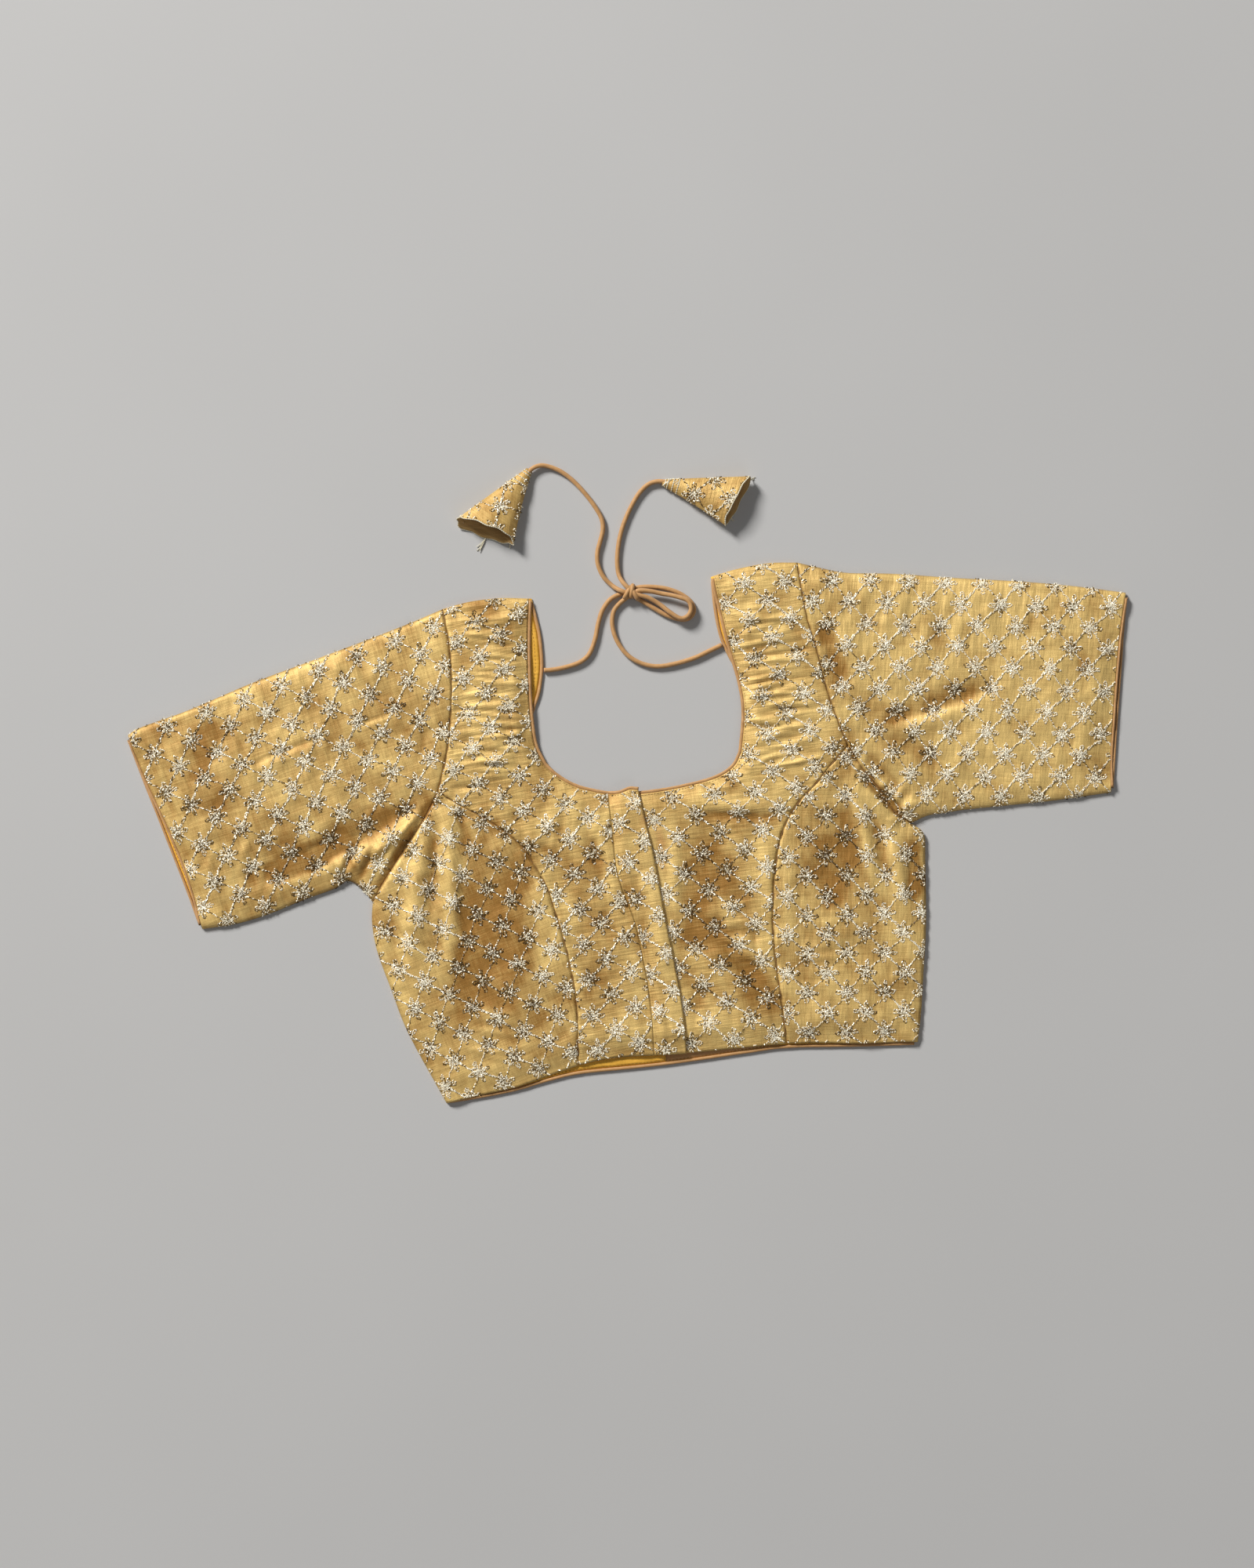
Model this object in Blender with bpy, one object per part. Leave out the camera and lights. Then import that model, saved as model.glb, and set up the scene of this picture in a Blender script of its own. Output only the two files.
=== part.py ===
"""A princess-seamed saree blouse of gold tissue, lying on its back on a flat surface.

The front is up, and the frame is X to the viewer's right, Y towards the shoulders and Z up.
Every size below is in millimetres, and left and right are -X and +X.
The back lies flat, the four front panels and the lapping placket lie on it, each sleeve is a
flattened tube, and a pair of tie cords, knotted in a slip bow, leaves the back neckline.
"""

import math
from collections import namedtuple

import bmesh
import bpy
import numpy as np

MM = 0.001

# The cloth and what trims it
WALL = 1.6
FACING_WALL = 1.0
LATKAN_WALL = 1.2
SEAM_GAP = 0.4
CLEARANCE = 0.3
ABOVE_SURFACE = 0.2
PIPING_RADIUS = 1.0
DORI_RADIUS = 1.9
PIPING_SIDES, DORI_SIDES = 1, 2

# The lining that shows, and how many of the cuff's strips it stays clear of at each fold
HEM_FACING_FROM, HEM_FACING_TO, HEM_FACING_WIDTH = -76.0, 112.0, 13.0
NECK_FACING_WIDTH, CUFF_FACING_WIDTH, CUFF_FACING_END = 9.0, 11.0, 3

# How the upper layer lies over the lower one
FOLD_HEIGHT = 4.0
UNDERSIDE_AT_FOLD = FOLD_HEIGHT - WALL
EDGE_RISE = 1.2
EDGE_REACH = 14.0
BODY_RISE = 1.8
BODY_REACH = 70.0
CREASE_REACH = 9.0
LEAST_SHARE_IN_TROUGH = 0.35
CREASE_END_FADE = 0.7
PLACKET_LIFT = WALL + CLEARANCE
PLACKET_CLIMB = 8.0

# How many strips each seam is divided into, so that both pieces that meet there have the same points
ARMHOLE_UPPER, ARMHOLE_LOWER, SIDE = 10, 6, 12
NECK_STRAP, NECK_BASE, CENTRE = 10, 6, 12
PRINCESS = ARMHOLE_LOWER + SIDE
CENTRE_COLUMNS, SIDE_COLUMNS, PLACKET_COLUMNS = 8, 9, 3
SLEEVE_ROWS = 16
SHOULDER, HEM, BACK_NECK = 4, 30, 44

# The seams and edges, each through the fewest points that give its shape
EDGES = {
    "shoulder_left": [(-141, 171), (-120, 176.5), (-96, 179.3), (-73, 179)],
    "armhole_upper_left": [(-141, 171), (-136, 145), (-134, 118), (-134.5, 93), (-137.5, 61), (-144.5, 30.5)],
    "armhole_lower_left": [(-144.5, 30.5), (-156, 8.5), (-171, -14), (-185, -36), (-194.5, -53)],
    "princess_left": [(-144.5, 30.5), (-124, 19), (-104, 8), (-85, -6), (-72, -23), (-61, -42),
                      (-53, -66), (-46, -90), (-41, -113), (-38, -138), (-37, -178)],
    "side_left": [(-194.5, -53), (-195, -69), (-191, -91), (-180, -121), (-167, -154), (-138, -207)],
    "neck_strap_left": [(-73, 179), (-74, 145), (-73.2, 109), (-71.4, 85), (-68.4, 67), (-62, 53.5)],
    "neck_base_left": [(-62, 53.5), (-55.5, 47), (-46, 40.5), (-36, 36), (-24, 33), (-14.4, 31.4)],
    "placket_seam": [(-14.4, 31.4), (-10.8, 1), (-8.4, -23), (-3.5, -42), (6, -67), (12, -94), (16.2, -117),
                     (18.8, -138), (21, -170.3)],
    "placket_top": [(-14.4, 31.4), (-6, 32), (2, 35), (9, 34.6)],
    "placket_edge": [(9, 34.6), (14.7, 8.4), (19.8, -12), (25.8, -44), (28.8, -62), (34.8, -91), (38.4, -110),
                     (41.4, -127), (43.8, -144), (45.6, -169)],
    "underlap": [(0, 30.5), (6, -24), (15, -56), (23, -93), (30.5, -137), (33, -169.6)],
    "neck_base_right": [(85.5, 62), (79.8, 51.5), (66, 43), (42, 36.6), (22, 33), (0, 30.5)],
    "neck_strap_right": [(64.2, 195.6), (67.8, 178), (76.8, 142), (84.6, 115), (87.8, 92), (85.5, 62)],
    "shoulder_right": [(64.2, 195.6), (84, 201.6), (108, 206), (130.2, 206.6)],
    "armhole_upper_right": [(130.2, 206.6), (133.2, 187), (138, 163), (145.2, 139), (153, 109), (160.2, 88), (169, 66.5)],
    "armhole_lower_right": [(169, 66.5), (180, 49), (192, 34), (205, 16), (217, 7)],
    "princess_right": [(169, 66.5), (156, 52), (144, 37), (132, 24), (123, 10), (117, -6), (113, -32), (111.5, -60),
                       (112.8, -89), (117.6, -125), (122.4, -161.3)],
    "side_right": [(217, 7), (227, -1), (228.2, -23), (228.7, -71), (226.8, -107), (225, -137), (222.5, -160)],
    "hem_side_left": [(-138, -207), (-108, -200), (-84, -194.5), (-60, -186), (-37, -178)],
    "hem_centre_left": [(-37, -178), (-20, -173.8), (0, -171.5), (21, -170.3)],
    "hem_placket": [(21, -170.3), (45.6, -169)],
    "hem_centre_right": [(33, -169.6), (60, -167.4), (84, -165), (108, -162.6), (122.4, -161.3)],
    "hem_side_right": [(122.4, -161.3), (150, -160.8), (174, -161.4), (198, -160.8), (222.5, -160)],
    "hem_back": [(-138, -207), (-108, -202), (-84, -197), (-60, -190), (-36, -184.5), (0, -180.5), (30, -177.5),
                 (60, -173.3), (90, -168.8), (123, -164.5), (174, -163.5), (222.5, -162)],
    "neck_back": [(64.2, 195.6), (66.5, 172), (71, 150), (79, 132), (87, 118), (93, 95), (94, 60), (88, 20),
                  (68, -20), (40, -37), (0, -42), (-40, -35), (-68, -8), (-80, 35), (-78, 70), (-71, 94),
                  (-66.5, 108), (-64.3, 128), (-66, 150), (-69, 164), (-73, 179)],
    "sleeve_top_left": [(-141, 171), (-168, 159.5), (-204, 145.5), (-240, 132), (-288, 114), (-336, 93.5),
                        (-372, 80.5), (-382.8, 74)],
    "sleeve_under_left": [(-194.5, -53), (-204, -42), (-214, -37), (-224, -43), (-246, -51), (-276, -63),
                          (-300, -70), (-326, -74)],
    "cuff_upper_left": [(-382.8, 74), (-371, 44), (-356, 12), (-342, -20), (-333, -46), (-326, -74)],
    "cuff_lower_left": [(-382.8, 74), (-372, 45), (-360, 15), (-347, -18), (-336, -46), (-326, -74)],
    "sleeve_top_right": [(130.2, 206.6), (146, 203), (168, 198.8), (204, 198), (252, 194.8), (300, 192.2),
                         (342, 188.6), (382.8, 183.4)],
    "sleeve_under_right": [(217, 7), (230, 13), (243, 15), (258, 17.5), (288, 20.5), (330, 25), (371.5, 31)],
    "cuff_upper_right": [(382.8, 183.4), (378, 150), (375, 118), (372.6, 84), (371, 56), (371.5, 31)],
    "cuff_lower_right": [(382.8, 183.4), (380, 157), (378, 127), (375.8, 97), (373.4, 61), (371.5, 31)],
}

# The seams and folds where the two layers are joined, so that the upper one comes down to the lower
CLOSED = ("shoulder_left", "shoulder_right", "side_left", "side_right", "sleeve_top_left", "sleeve_top_right",
          "sleeve_under_left", "sleeve_under_right")

# The largest creases of the upper layer. Ridges have a positive height, troughs a negative one, and bow is
# how far the middle lies to the left of the line from start to end.
Crease = namedtuple("Crease", "x0 y0 x1 y1 bow half_width height")
CREASES = [
    Crease(-150, 20, -219, -33, 4, 5.5, 3.4),
    Crease(-150, 33, -290, -34, 6, 9, -2.4),
    Crease(-165, -8, -203, -36, 3, 4.5, 2.6),
    Crease(-160, 2, -190, -45, -3, 4, -2.6),
    Crease(-215, 4, -262, -32, 3, 6, -1.8),
    Crease(-235, 128, -208, 66, -4, 7, 1.2),
    Crease(-300, 52, -200, 84, 3, 6, -1.4),
    Crease(-262, 112, -235, 60, 3, 6, 0.9),
    Crease(-350, 72, -325, 10, -3, 7, 1.0),
    Crease(-141, 18, -136, -95, -6, 8, 2.4),
    Crease(-158, 0, -176, -105, 6, 8, 1.8),
    Crease(-120, 8, -100, -165, -8, 14, -1.8),
    Crease(-66, -30, -45, -95, -4, 6, 1.6),
    Crease(-37, 26, -14, -60, 2, 5, -1.4),
    Crease(-27, 20, -4, -62, 2, 4.5, 1.2),
    Crease(66, 10, 52, -110, 4, 12, -1.6),
    Crease(100, 5, 108, -95, 2, 7, 1.8),
    Crease(44, -70, 108, -92, 3, 5, -1.2),
    Crease(60, 24, 122, 18, -3, 5, 1.2),
    Crease(30, -86, 104, -130, -3, 6, 1.2),
    Crease(168, 40, 190, -58, -6, 8, 2.2),
    Crease(150, 20, 158, -75, 3, 11, -1.6),
    Crease(178, 45, 208, 12, -2, 4.5, 2.8),
    Crease(186, 22, 216, -6, -2, 5, -2.2),
    Crease(260, 128, 188, 84, 4, 10, -1.6),
    Crease(200, 84, 262, 70, 4, 7, 1.2),
    Crease(196, 182, 186, 110, 3, 8, 1.0),
    Crease(182, 60, 240, 34, -4, 6, 1.4),
    Crease(330, 150, 322, 74, 2, 8, 0.9),
    Crease(-130, 100, -78, 108, 0, 6, 0.9),
    Crease(150, 96, 90, 84, 0, 6, 0.9),
]

# Each tie cord's route, as x, y and z of the cord's middle
LYING = DORI_RADIUS + ABOVE_SURFACE
ON_TOP = LYING + 2 * DORI_RADIUS + CLEARANCE
IN_APEX = 3.5
ROUTES = {
    "dori_lead_left": [(-63.6, 124.2, LYING), (-57, 124.6, LYING), (-46.8, 126.6, LYING), (-36, 130.4, LYING),
                       (-28.8, 136.8, LYING), (-24.4, 148, LYING), (-22, 160, LYING), (-18.6, 170.4, LYING),
                       (-12.8, 178.4, LYING), (-7.4, 181.8, LYING), (-3, 182.8, LYING)],
    "dori_lead_right": [(72.6, 143.6, LYING), (63, 139, LYING), (51, 133.4, LYING), (36, 129, LYING),
                        (22.8, 127.2, LYING), (10.8, 129.6, LYING), (0, 136.2, LYING), (-7.8, 147, LYING),
                        (-11.2, 158.6, LYING), (-10.4, 168.4, LYING), (-6.4, 174.6, LYING), (-0.6, 178.6, LYING)],
    "dori_loop_lower": [(7.4, 187.3, LYING), (18, 188, LYING), (30, 186.6, LYING), (41, 182.6, LYING),
                        (48.8, 176.6, LYING), (51.2, 170, LYING), (48, 164.4, LYING), (41, 163, LYING),
                        (30, 166.4, LYING), (20, 172, LYING), (12.4, 176.6, LYING), (7.4, 179.3, LYING)],
    "dori_loop_upper": [(9, 185.5, ON_TOP), (17, 184.6, 5.6), (26, 182.8, 4.8), (34, 181.4, 5.6),
                        (41, 179.5, ON_TOP), (46.7, 177.2, ON_TOP), (49, 171.5, ON_TOP), (46.7, 165.8, ON_TOP),
                        (41, 163.7, ON_TOP), (33, 168.3, ON_TOP), (25, 174.5, 4.8), (16.5, 179.4, 5.6),
                        (9, 181, ON_TOP)],
    "dori_end_left": [(-2.9, 184.2, ON_TOP), (-7, 186, 4.6), (-11.6, 189.2, LYING), (-18, 195.6, LYING),
                      (-22.2, 205, LYING), (-22.6, 214.2, LYING), (-20.4, 223.2, LYING), (-18.4, 232, LYING),
                      (-19.6, 240.4, LYING), (-25.2, 250.2, LYING), (-33, 260.4, LYING), (-42, 269.8, LYING),
                      (-51, 276.4, LYING), (-60, 280, 2.2), (-67, 280.6, 3.0), (-73.4, 277.6, IN_APEX),
                      (-79.4, 270.6, IN_APEX)],
    "dori_end_right": [(-0.2, 188.1, ON_TOP), (-3.4, 191.6, 4.6), (-6.2, 197, LYING), (-7.4, 205, LYING),
                       (-7.2, 214.4, LYING), (-5.4, 226.2, LYING), (-1.8, 238.2, LYING), (3.6, 250.2, LYING),
                       (9.6, 260, LYING), (16.4, 266.4, 2.2), (23.4, 268.6, 3.0), (31, 267.8, IN_APEX),
                       (39.6, 265.9, IN_APEX)],
}
ROUTE_STEP = 2.2 * 2 * DORI_RADIUS

KNOT_CENTRE = (3.2, 183.2, 4.3)
KNOT_RADII = (5.4, 4.6, 4.1)
KNOT_SEGMENTS, KNOT_RINGS = 14, 8

# The cones on the cords' free ends: from the apex at the cord to the middle of the open mouth
Latkan = namedtuple("Latkan", "apex mouth mouth_width mouth_height")
LATKANS = {
    "latkan_left": Latkan((-74.2, 277), (-108.5, 229), 41.0, 15.0),
    "latkan_right": Latkan((29.6, 268), (88, 254.5), 42.0, 14.0),
}
LATKAN_APEX_RADIUS = DORI_RADIUS + 0.4 + LATKAN_WALL
LATKAN_ROWS, LATKAN_SIDES = 7, 16
LATKAN_SLANT = 9.0

GOLD = ("gold_tissue", (0.56, 0.37, 0.12), 0.42, 0.55)
TAN = ("tan_satin", (0.45, 0.24, 0.09), 0.5, 0.0)
YELLOW = ("yellow_lining", (0.62, 0.40, 0.07), 0.7, 0.0)


def clear_scene():
    for obj in list(bpy.data.objects):
        bpy.data.objects.remove(obj)


def material(name, colour, roughness, metallic):
    """A plain finish, made once and shared by the pieces of that cloth."""
    made = bpy.data.materials.get(name)
    if made is None:
        made = bpy.data.materials.new(name)
        made.use_nodes = True
        shader = made.node_tree.nodes["Principled BSDF"]
        shader.inputs["Base Color"].default_value = (*colour, 1)
        shader.inputs["Roughness"].default_value = roughness
        shader.inputs["Metallic"].default_value = metallic
    return made


def add_object(name, data, finish):
    data.materials.append(material(*finish))
    obj = bpy.data.objects.new(name, data)
    blouse.objects.link(obj)
    return obj


def smooth_line(points, density=24):
    """A dense line through the points: a Catmull-Rom spline, with its ends run on straight."""
    p = np.array(points, float)
    p = np.vstack([2 * p[0] - p[1], p, 2 * p[-1] - p[-2]])
    t = np.linspace(0, 1, density, endpoint=False)[:, None]
    spans = [
        0.5 * (2 * b + (c - a) * t + (2 * a - 5 * b + 4 * c - d) * t**2 + (3 * b - a - 3 * c + d) * t**3)
        for a, b, c, d in zip(p, p[1:], p[2:], p[3:])
    ]
    return np.vstack([*spans, p[-2:-1]])


def along(line, count):
    """count + 1 points spaced evenly along a line."""
    steps = np.linalg.norm(np.diff(line, axis=0), axis=1)
    travelled = np.concatenate([[0], np.cumsum(steps)])
    wanted = np.linspace(0, travelled[-1], count + 1)
    return np.stack([np.interp(wanted, travelled, line[:, k]) for k in range(line.shape[1])], axis=1)


def edge(name, count):
    return along(smooth_line(EDGES[name]), count)


def joined(*lines):
    """Lines end to end, with each shared point kept once."""
    return np.vstack([lines[0], *(line[1:] for line in lines[1:])])


def moved_left(line, distance):
    """The line moved sideways, to the left of its direction of travel."""
    ahead = np.gradient(line[:, :2], axis=0)
    ahead /= np.linalg.norm(ahead, axis=1)[:, None]
    return line[:, :2] + distance * np.stack([-ahead[:, 1], ahead[:, 0]], axis=1)


def patch(left, right, top, bottom):
    """A Coons patch: the (rows, columns) points of the cloth between four edges."""
    u = np.linspace(0, 1, len(top))[None, :, None]
    v = np.linspace(0, 1, len(left))[:, None, None]
    corners = (
        (1 - u) * (1 - v) * top[0] + u * (1 - v) * top[-1] + (1 - u) * v * bottom[0] + u * v * bottom[-1]
    )
    sides = (1 - u) * left[:, None] + u * right[:, None]
    ends = (1 - v) * top[None] + v * bottom[None]
    return sides + ends - corners


def inset(grid, distance):
    """The patch with its border drawn in, to leave room for the piece across the seam."""
    grid = grid.copy()
    for border, inner in ((0, 1), (-1, -2)):
        for view in (grid, grid.transpose(1, 0, 2)):
            pull = view[inner] - view[border]
            view[border] += distance * pull / np.maximum(np.linalg.norm(pull, axis=1), 1e-6)[:, None]
    return grid


def ease(x):
    x = np.clip(x, 0, 1)
    return x * x * (3 - 2 * x)


def distance_to_closed(plan):
    fold = np.vstack([edge(name, 90) for name in CLOSED])
    flat = plan.reshape(-1, 2)
    return np.sqrt(((flat[:, None] - fold[None]) ** 2).sum(-1).min(1)).reshape(plan.shape[:-1])


def crease_relief(plan):
    """The height that the creases add, each fading towards both its ends."""
    relief = np.zeros(plan.shape[:-1])
    for c in CREASES:
        start, end = np.array([c.x0, c.y0]), np.array([c.x1, c.y1])
        length = np.linalg.norm(end - start)
        ahead = (end - start) / length
        away = plan - start
        share = (away @ ahead) / length
        sideways = away @ np.array([-ahead[1], ahead[0]]) - c.bow * 4 * share * (1 - share)
        fade = np.where((share > 0) & (share < 1), np.sin(np.pi * np.clip(share, 0, 1)) ** CREASE_END_FADE, 0)
        relief += c.height * fade * np.exp(-0.5 * (sideways / c.half_width) ** 2)
    return relief


def underside(plan):
    """How high the upper layer's underside lies at points of the plan."""
    far = distance_to_closed(plan)
    lift = EDGE_RISE * ease(far / EDGE_REACH) + BODY_RISE * ease(far / BODY_REACH)
    creased = lift + crease_relief(plan) * ease(far / CREASE_REACH)
    return UNDERSIDE_AT_FOLD + np.maximum(creased, LEAST_SHARE_IN_TROUGH * lift)


def raised(plan, height):
    return np.concatenate([plan, np.broadcast_to(height, plan.shape[:-1])[..., None]], axis=-1)


def cloth_wall(name, outer, inner, finish, tube=False):
    """A wall between two (rows, columns, 3) grids of points. A tube's first and last columns are one."""
    rows, columns = outer.shape[0] - 1, outer.shape[1] - 1
    bm = bmesh.new()
    bmesh.ops.create_grid(bm, x_segments=columns, y_segments=rows, size=0.5)
    place = bm.verts.layers.int.new("place")
    for vert in bm.verts:
        column = round((vert.co.x + 0.5) * columns)
        row = round((0.5 - vert.co.y) * rows)
        vert[place] = row * (columns + 1) + column
        vert.co = outer[row, column] * MM
    if tube:
        bmesh.ops.remove_doubles(bm, verts=bm.verts, dist=0.01 * MM)
    far_side = bmesh.ops.extrude_face_region(bm, geom=bm.faces[:], use_keep_orig=True)["geom"]
    flat = inner.reshape(-1, 3)
    for vert in (item for item in far_side if isinstance(item, bmesh.types.BMVert)):
        vert.co = flat[vert[place]] * MM
    bmesh.ops.recalc_face_normals(bm, faces=bm.faces)
    mesh = bpy.data.meshes.new(name)
    bm.to_mesh(mesh)
    bm.free()
    if mesh_volume(mesh) < 0:
        mesh.flip_normals()
    mesh.shade_smooth()
    mesh.set_sharp_from_angle(angle=math.radians(40))
    return add_object(name, mesh, finish)


def mesh_volume(mesh):
    mesh.calc_loop_triangles()
    corners = np.array([[mesh.vertices[i].co[:] for i in t.vertices] for t in mesh.loop_triangles])
    return np.einsum("ij,ij->i", corners[:, 0], np.cross(corners[:, 1], corners[:, 2])).sum() / 6


def upper_panel(name, grid, lift=0.0):
    """A front panel: one wall thickness of cloth, lying over the back."""
    grid = inset(grid, SEAM_GAP / 2)
    under = underside(grid) + lift
    return cloth_wall(name, raised(grid, under), raised(grid, under + WALL), GOLD)


def make_back():
    """The back, cut in one piece and lying flat, with its deep neck."""
    trim = 2 * PIPING_RADIUS + CLEARANCE
    sides = [
        (armhole("left"), SEAM_GAP / 2),
        (edge("side_left", SIDE), SEAM_GAP / 2),
        (edge("hem_back", HEM), trim),
        (edge("side_right", SIDE)[::-1], SEAM_GAP / 2),
        (armhole("right")[::-1], SEAM_GAP / 2),
        (edge("shoulder_right", SHOULDER)[::-1], SEAM_GAP / 2),
        (edge("neck_back", BACK_NECK), trim),
        (edge("shoulder_left", SHOULDER)[::-1], SEAM_GAP / 2),
    ]
    outline = np.vstack([moved_left(line, distance)[1:-1] for line, distance in sides])
    curve = bpy.data.curves.new("back", "CURVE")
    curve.dimensions = "2D"
    curve.fill_mode = "BOTH"
    curve.extrude = WALL / 2 * MM
    spline = curve.splines.new("POLY")
    spline.points.add(len(outline) - 1)
    for point, place in zip(spline.points, outline):
        point.co = (*(place * MM), 0, 1)
    spline.use_cyclic_u = True
    back = add_object("back", curve, GOLD)
    back.location.z = WALL / 2 * MM


def armhole(side):
    """The armhole from the shoulder to the underarm, with a point where the princess seam meets it."""
    return joined(edge(f"armhole_upper_{side}", ARMHOLE_UPPER), edge(f"armhole_lower_{side}", ARMHOLE_LOWER))


def neckline(side):
    """The front's neckline from the shoulder, on the left as far as the placket's corner."""
    line = joined(edge(f"neck_strap_{side}", NECK_STRAP), edge(f"neck_base_{side}", NECK_BASE))
    return joined(line, edge("placket_top", PLACKET_COLUMNS)) if side == "left" else line


def make_fronts():
    around_left = moved_left(neckline("left"), -2 * PIPING_RADIUS)[: -PLACKET_COLUMNS]
    around_right = moved_left(neckline("right"), 2 * PIPING_RADIUS)
    seam = edge("placket_seam", CENTRE)
    underlap = edge("underlap", CENTRE)
    seam[0], underlap[0] = around_left[-1], around_right[-1]
    neck_left = joined(around_left, seam)
    neck_right = joined(around_right, underlap)
    shoulder_left = edge("shoulder_left", CENTRE_COLUMNS)
    shoulder_right = edge("shoulder_right", CENTRE_COLUMNS)
    shoulder_left[-1], shoulder_right[0] = neck_left[0], neck_right[0]
    upper_panel(
        "front_centre_left",
        patch(
            joined(edge("armhole_upper_left", ARMHOLE_UPPER), edge("princess_left", PRINCESS)),
            neck_left,
            shoulder_left,
            edge("hem_centre_left", CENTRE_COLUMNS),
        ),
    )
    upper_panel(
        "front_centre_right",
        patch(
            neck_right,
            joined(edge("armhole_upper_right", ARMHOLE_UPPER), edge("princess_right", PRINCESS)),
            shoulder_right,
            edge("hem_centre_right", CENTRE_COLUMNS),
        ),
    )
    for side, flip in (("left", False), ("right", True)):
        outer = joined(edge(f"armhole_lower_{side}", ARMHOLE_LOWER), edge(f"side_{side}", SIDE))
        inner = edge(f"princess_{side}", PRINCESS)
        hem = edge(f"hem_side_{side}", SIDE_COLUMNS)
        tip = np.repeat(outer[:1], SIDE_COLUMNS + 1, axis=0)
        grid = patch(inner, outer, tip, hem) if flip else patch(outer, inner, tip, hem)
        grid[0] += 0.2 * (grid[1] - grid[0])
        upper_panel(f"front_side_{side}", grid)


def placket_lift(plan):
    """How far the placket stands over the right front: it climbs from its seam in its first third."""
    seam = smooth_line(EDGES["placket_seam"])
    past_seam = plan[..., 0] - np.interp(-plan[..., 1], -seam[:, 1], seam[:, 0])
    return PLACKET_LIFT * ease(past_seam / PLACKET_CLIMB)


def make_placket():
    """The strip on the left front that laps over the right one."""
    seam = moved_left(edge("placket_seam", CENTRE), SEAM_GAP / 2)
    lap = edge("placket_edge", CENTRE)
    top = moved_left(neckline("left"), -2 * PIPING_RADIUS)[-PLACKET_COLUMNS - 1 :]
    seam[0], lap[0] = top[0], top[-1]
    grid = inset(patch(seam, lap, top, edge("hem_placket", PLACKET_COLUMNS)), SEAM_GAP / 2)
    under = underside(grid) + placket_lift(grid)
    cloth_wall("placket", raised(grid, under), raised(grid, under + WALL), GOLD)


def sleeve_patches(side):
    """The plans of a sleeve's upper and lower layers, from the armhole to the cuff."""
    seam = armhole(side)
    top = edge(f"sleeve_top_{side}", SLEEVE_ROWS)
    under = edge(f"sleeve_under_{side}", SLEEVE_ROWS)
    columns = len(seam) - 1
    layers = []
    for cuff in (f"cuff_upper_{side}", f"cuff_lower_{side}"):
        grid = patch(top, under, seam, edge(cuff, columns))
        for end, inner, room in ((0, 1, SEAM_GAP / 2), (-1, -2, 2 * PIPING_RADIUS + CLEARANCE)):
            pull = grid[inner] - grid[end]
            grid[end] += room * pull / np.linalg.norm(pull, axis=1)[:, None]
        layers.append(grid)
    return layers


def make_sleeve(side):
    """A sleeve as one flattened tube: rings over the upper layer, round the fold and back under it."""
    upper, lower = sleeve_patches(side)
    radius = FOLD_HEIGHT / 2
    rings = []
    for depth in (0.0, WALL):
        over = raised(upper, underside(upper) + WALL - depth)
        beneath = raised(lower, depth)
        folds = []
        for column, inner in ((0, 1), (-1, -2)):
            inwards = upper[:, inner] - upper[:, column]
            inwards /= np.linalg.norm(inwards, axis=1)[:, None]
            over[:, column, :2] += radius * inwards
            beneath[:, column, :2] += radius * inwards
            folds.append(raised(upper[:, column] + depth * inwards, radius)[:, None])
        rings.append(
            np.concatenate([folds[0], over, folds[1], beneath[:, ::-1], folds[0]], axis=1)
        )
    return cloth_wall(f"sleeve_{side}", rings[0], rings[1], GOLD, tube=True)


def tube(name, line, radius, finish, resolution, cyclic=False):
    """A round trim or cord along a line of points, with filled ends."""
    curve = bpy.data.curves.new(name, "CURVE")
    curve.dimensions = "3D"
    curve.bevel_depth = radius * MM
    curve.bevel_resolution = resolution
    curve.use_fill_caps = not cyclic
    spline = curve.splines.new("POLY")
    spline.points.add(len(line) - 1)
    for point, place in zip(spline.points, line):
        point.co = (*(np.array(place) * MM), 1)
    spline.use_cyclic_u = cyclic
    return add_object(name, curve, finish)


def make_piping():
    """The rolled tan edge of the neck, the hem and both cuffs."""
    for side, way in (("left", -1), ("right", 1)):
        plan = moved_left(neckline(side), way * (PIPING_RADIUS - CLEARANCE))[1:]
        plan = plan if side == "left" else plan[:-1]
        lift = placket_lift(plan) if side == "left" else 0
        line = raised(plan, underside(plan) + lift + WALL / 2)
        tube(f"neck_piping_{side}", line, PIPING_RADIUS, TAN, PIPING_SIDES)
    lower_height = PIPING_RADIUS + ABOVE_SURFACE
    for name, key, count in (("neck_piping_back", "neck_back", BACK_NECK), ("hem_piping", "hem_back", HEM)):
        plan = moved_left(edge(key, count), PIPING_RADIUS)[1:-1]
        tube(name, raised(plan, lower_height), PIPING_RADIUS, TAN, PIPING_SIDES)
    for side in ("left", "right"):
        upper, lower = sleeve_patches(side)
        outwards = upper[-1] - upper[-2]
        outwards /= np.linalg.norm(outwards, axis=1)[:, None]
        step = (PIPING_RADIUS + CLEARANCE) * outwards
        over = raised(upper[-1] + step, underside(upper[-1]) + WALL / 2)
        beneath = raised(lower[-1] + step, lower_height)
        for border, inner in ((0, 1), (-1, -2)):
            inwards = over[inner, :2] - over[border, :2]
            inwards *= FOLD_HEIGHT / 2 / np.linalg.norm(inwards)
            over[border, :2] += inwards
            beneath[border, :2] += inwards
        loop = np.vstack([over, beneath[::-1]])
        tube(f"cuff_piping_{side}", loop, PIPING_RADIUS, TAN, PIPING_SIDES, cyclic=True)


def facing(name, near, far):
    """A strip of lining on the lower layer, between two lines of the plan."""
    grid = np.stack([near, (near + far) / 2, far], axis=1)
    base = WALL + CLEARANCE
    cloth_wall(name, raised(grid, base), raised(grid, base + FACING_WALL), YELLOW)


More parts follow.
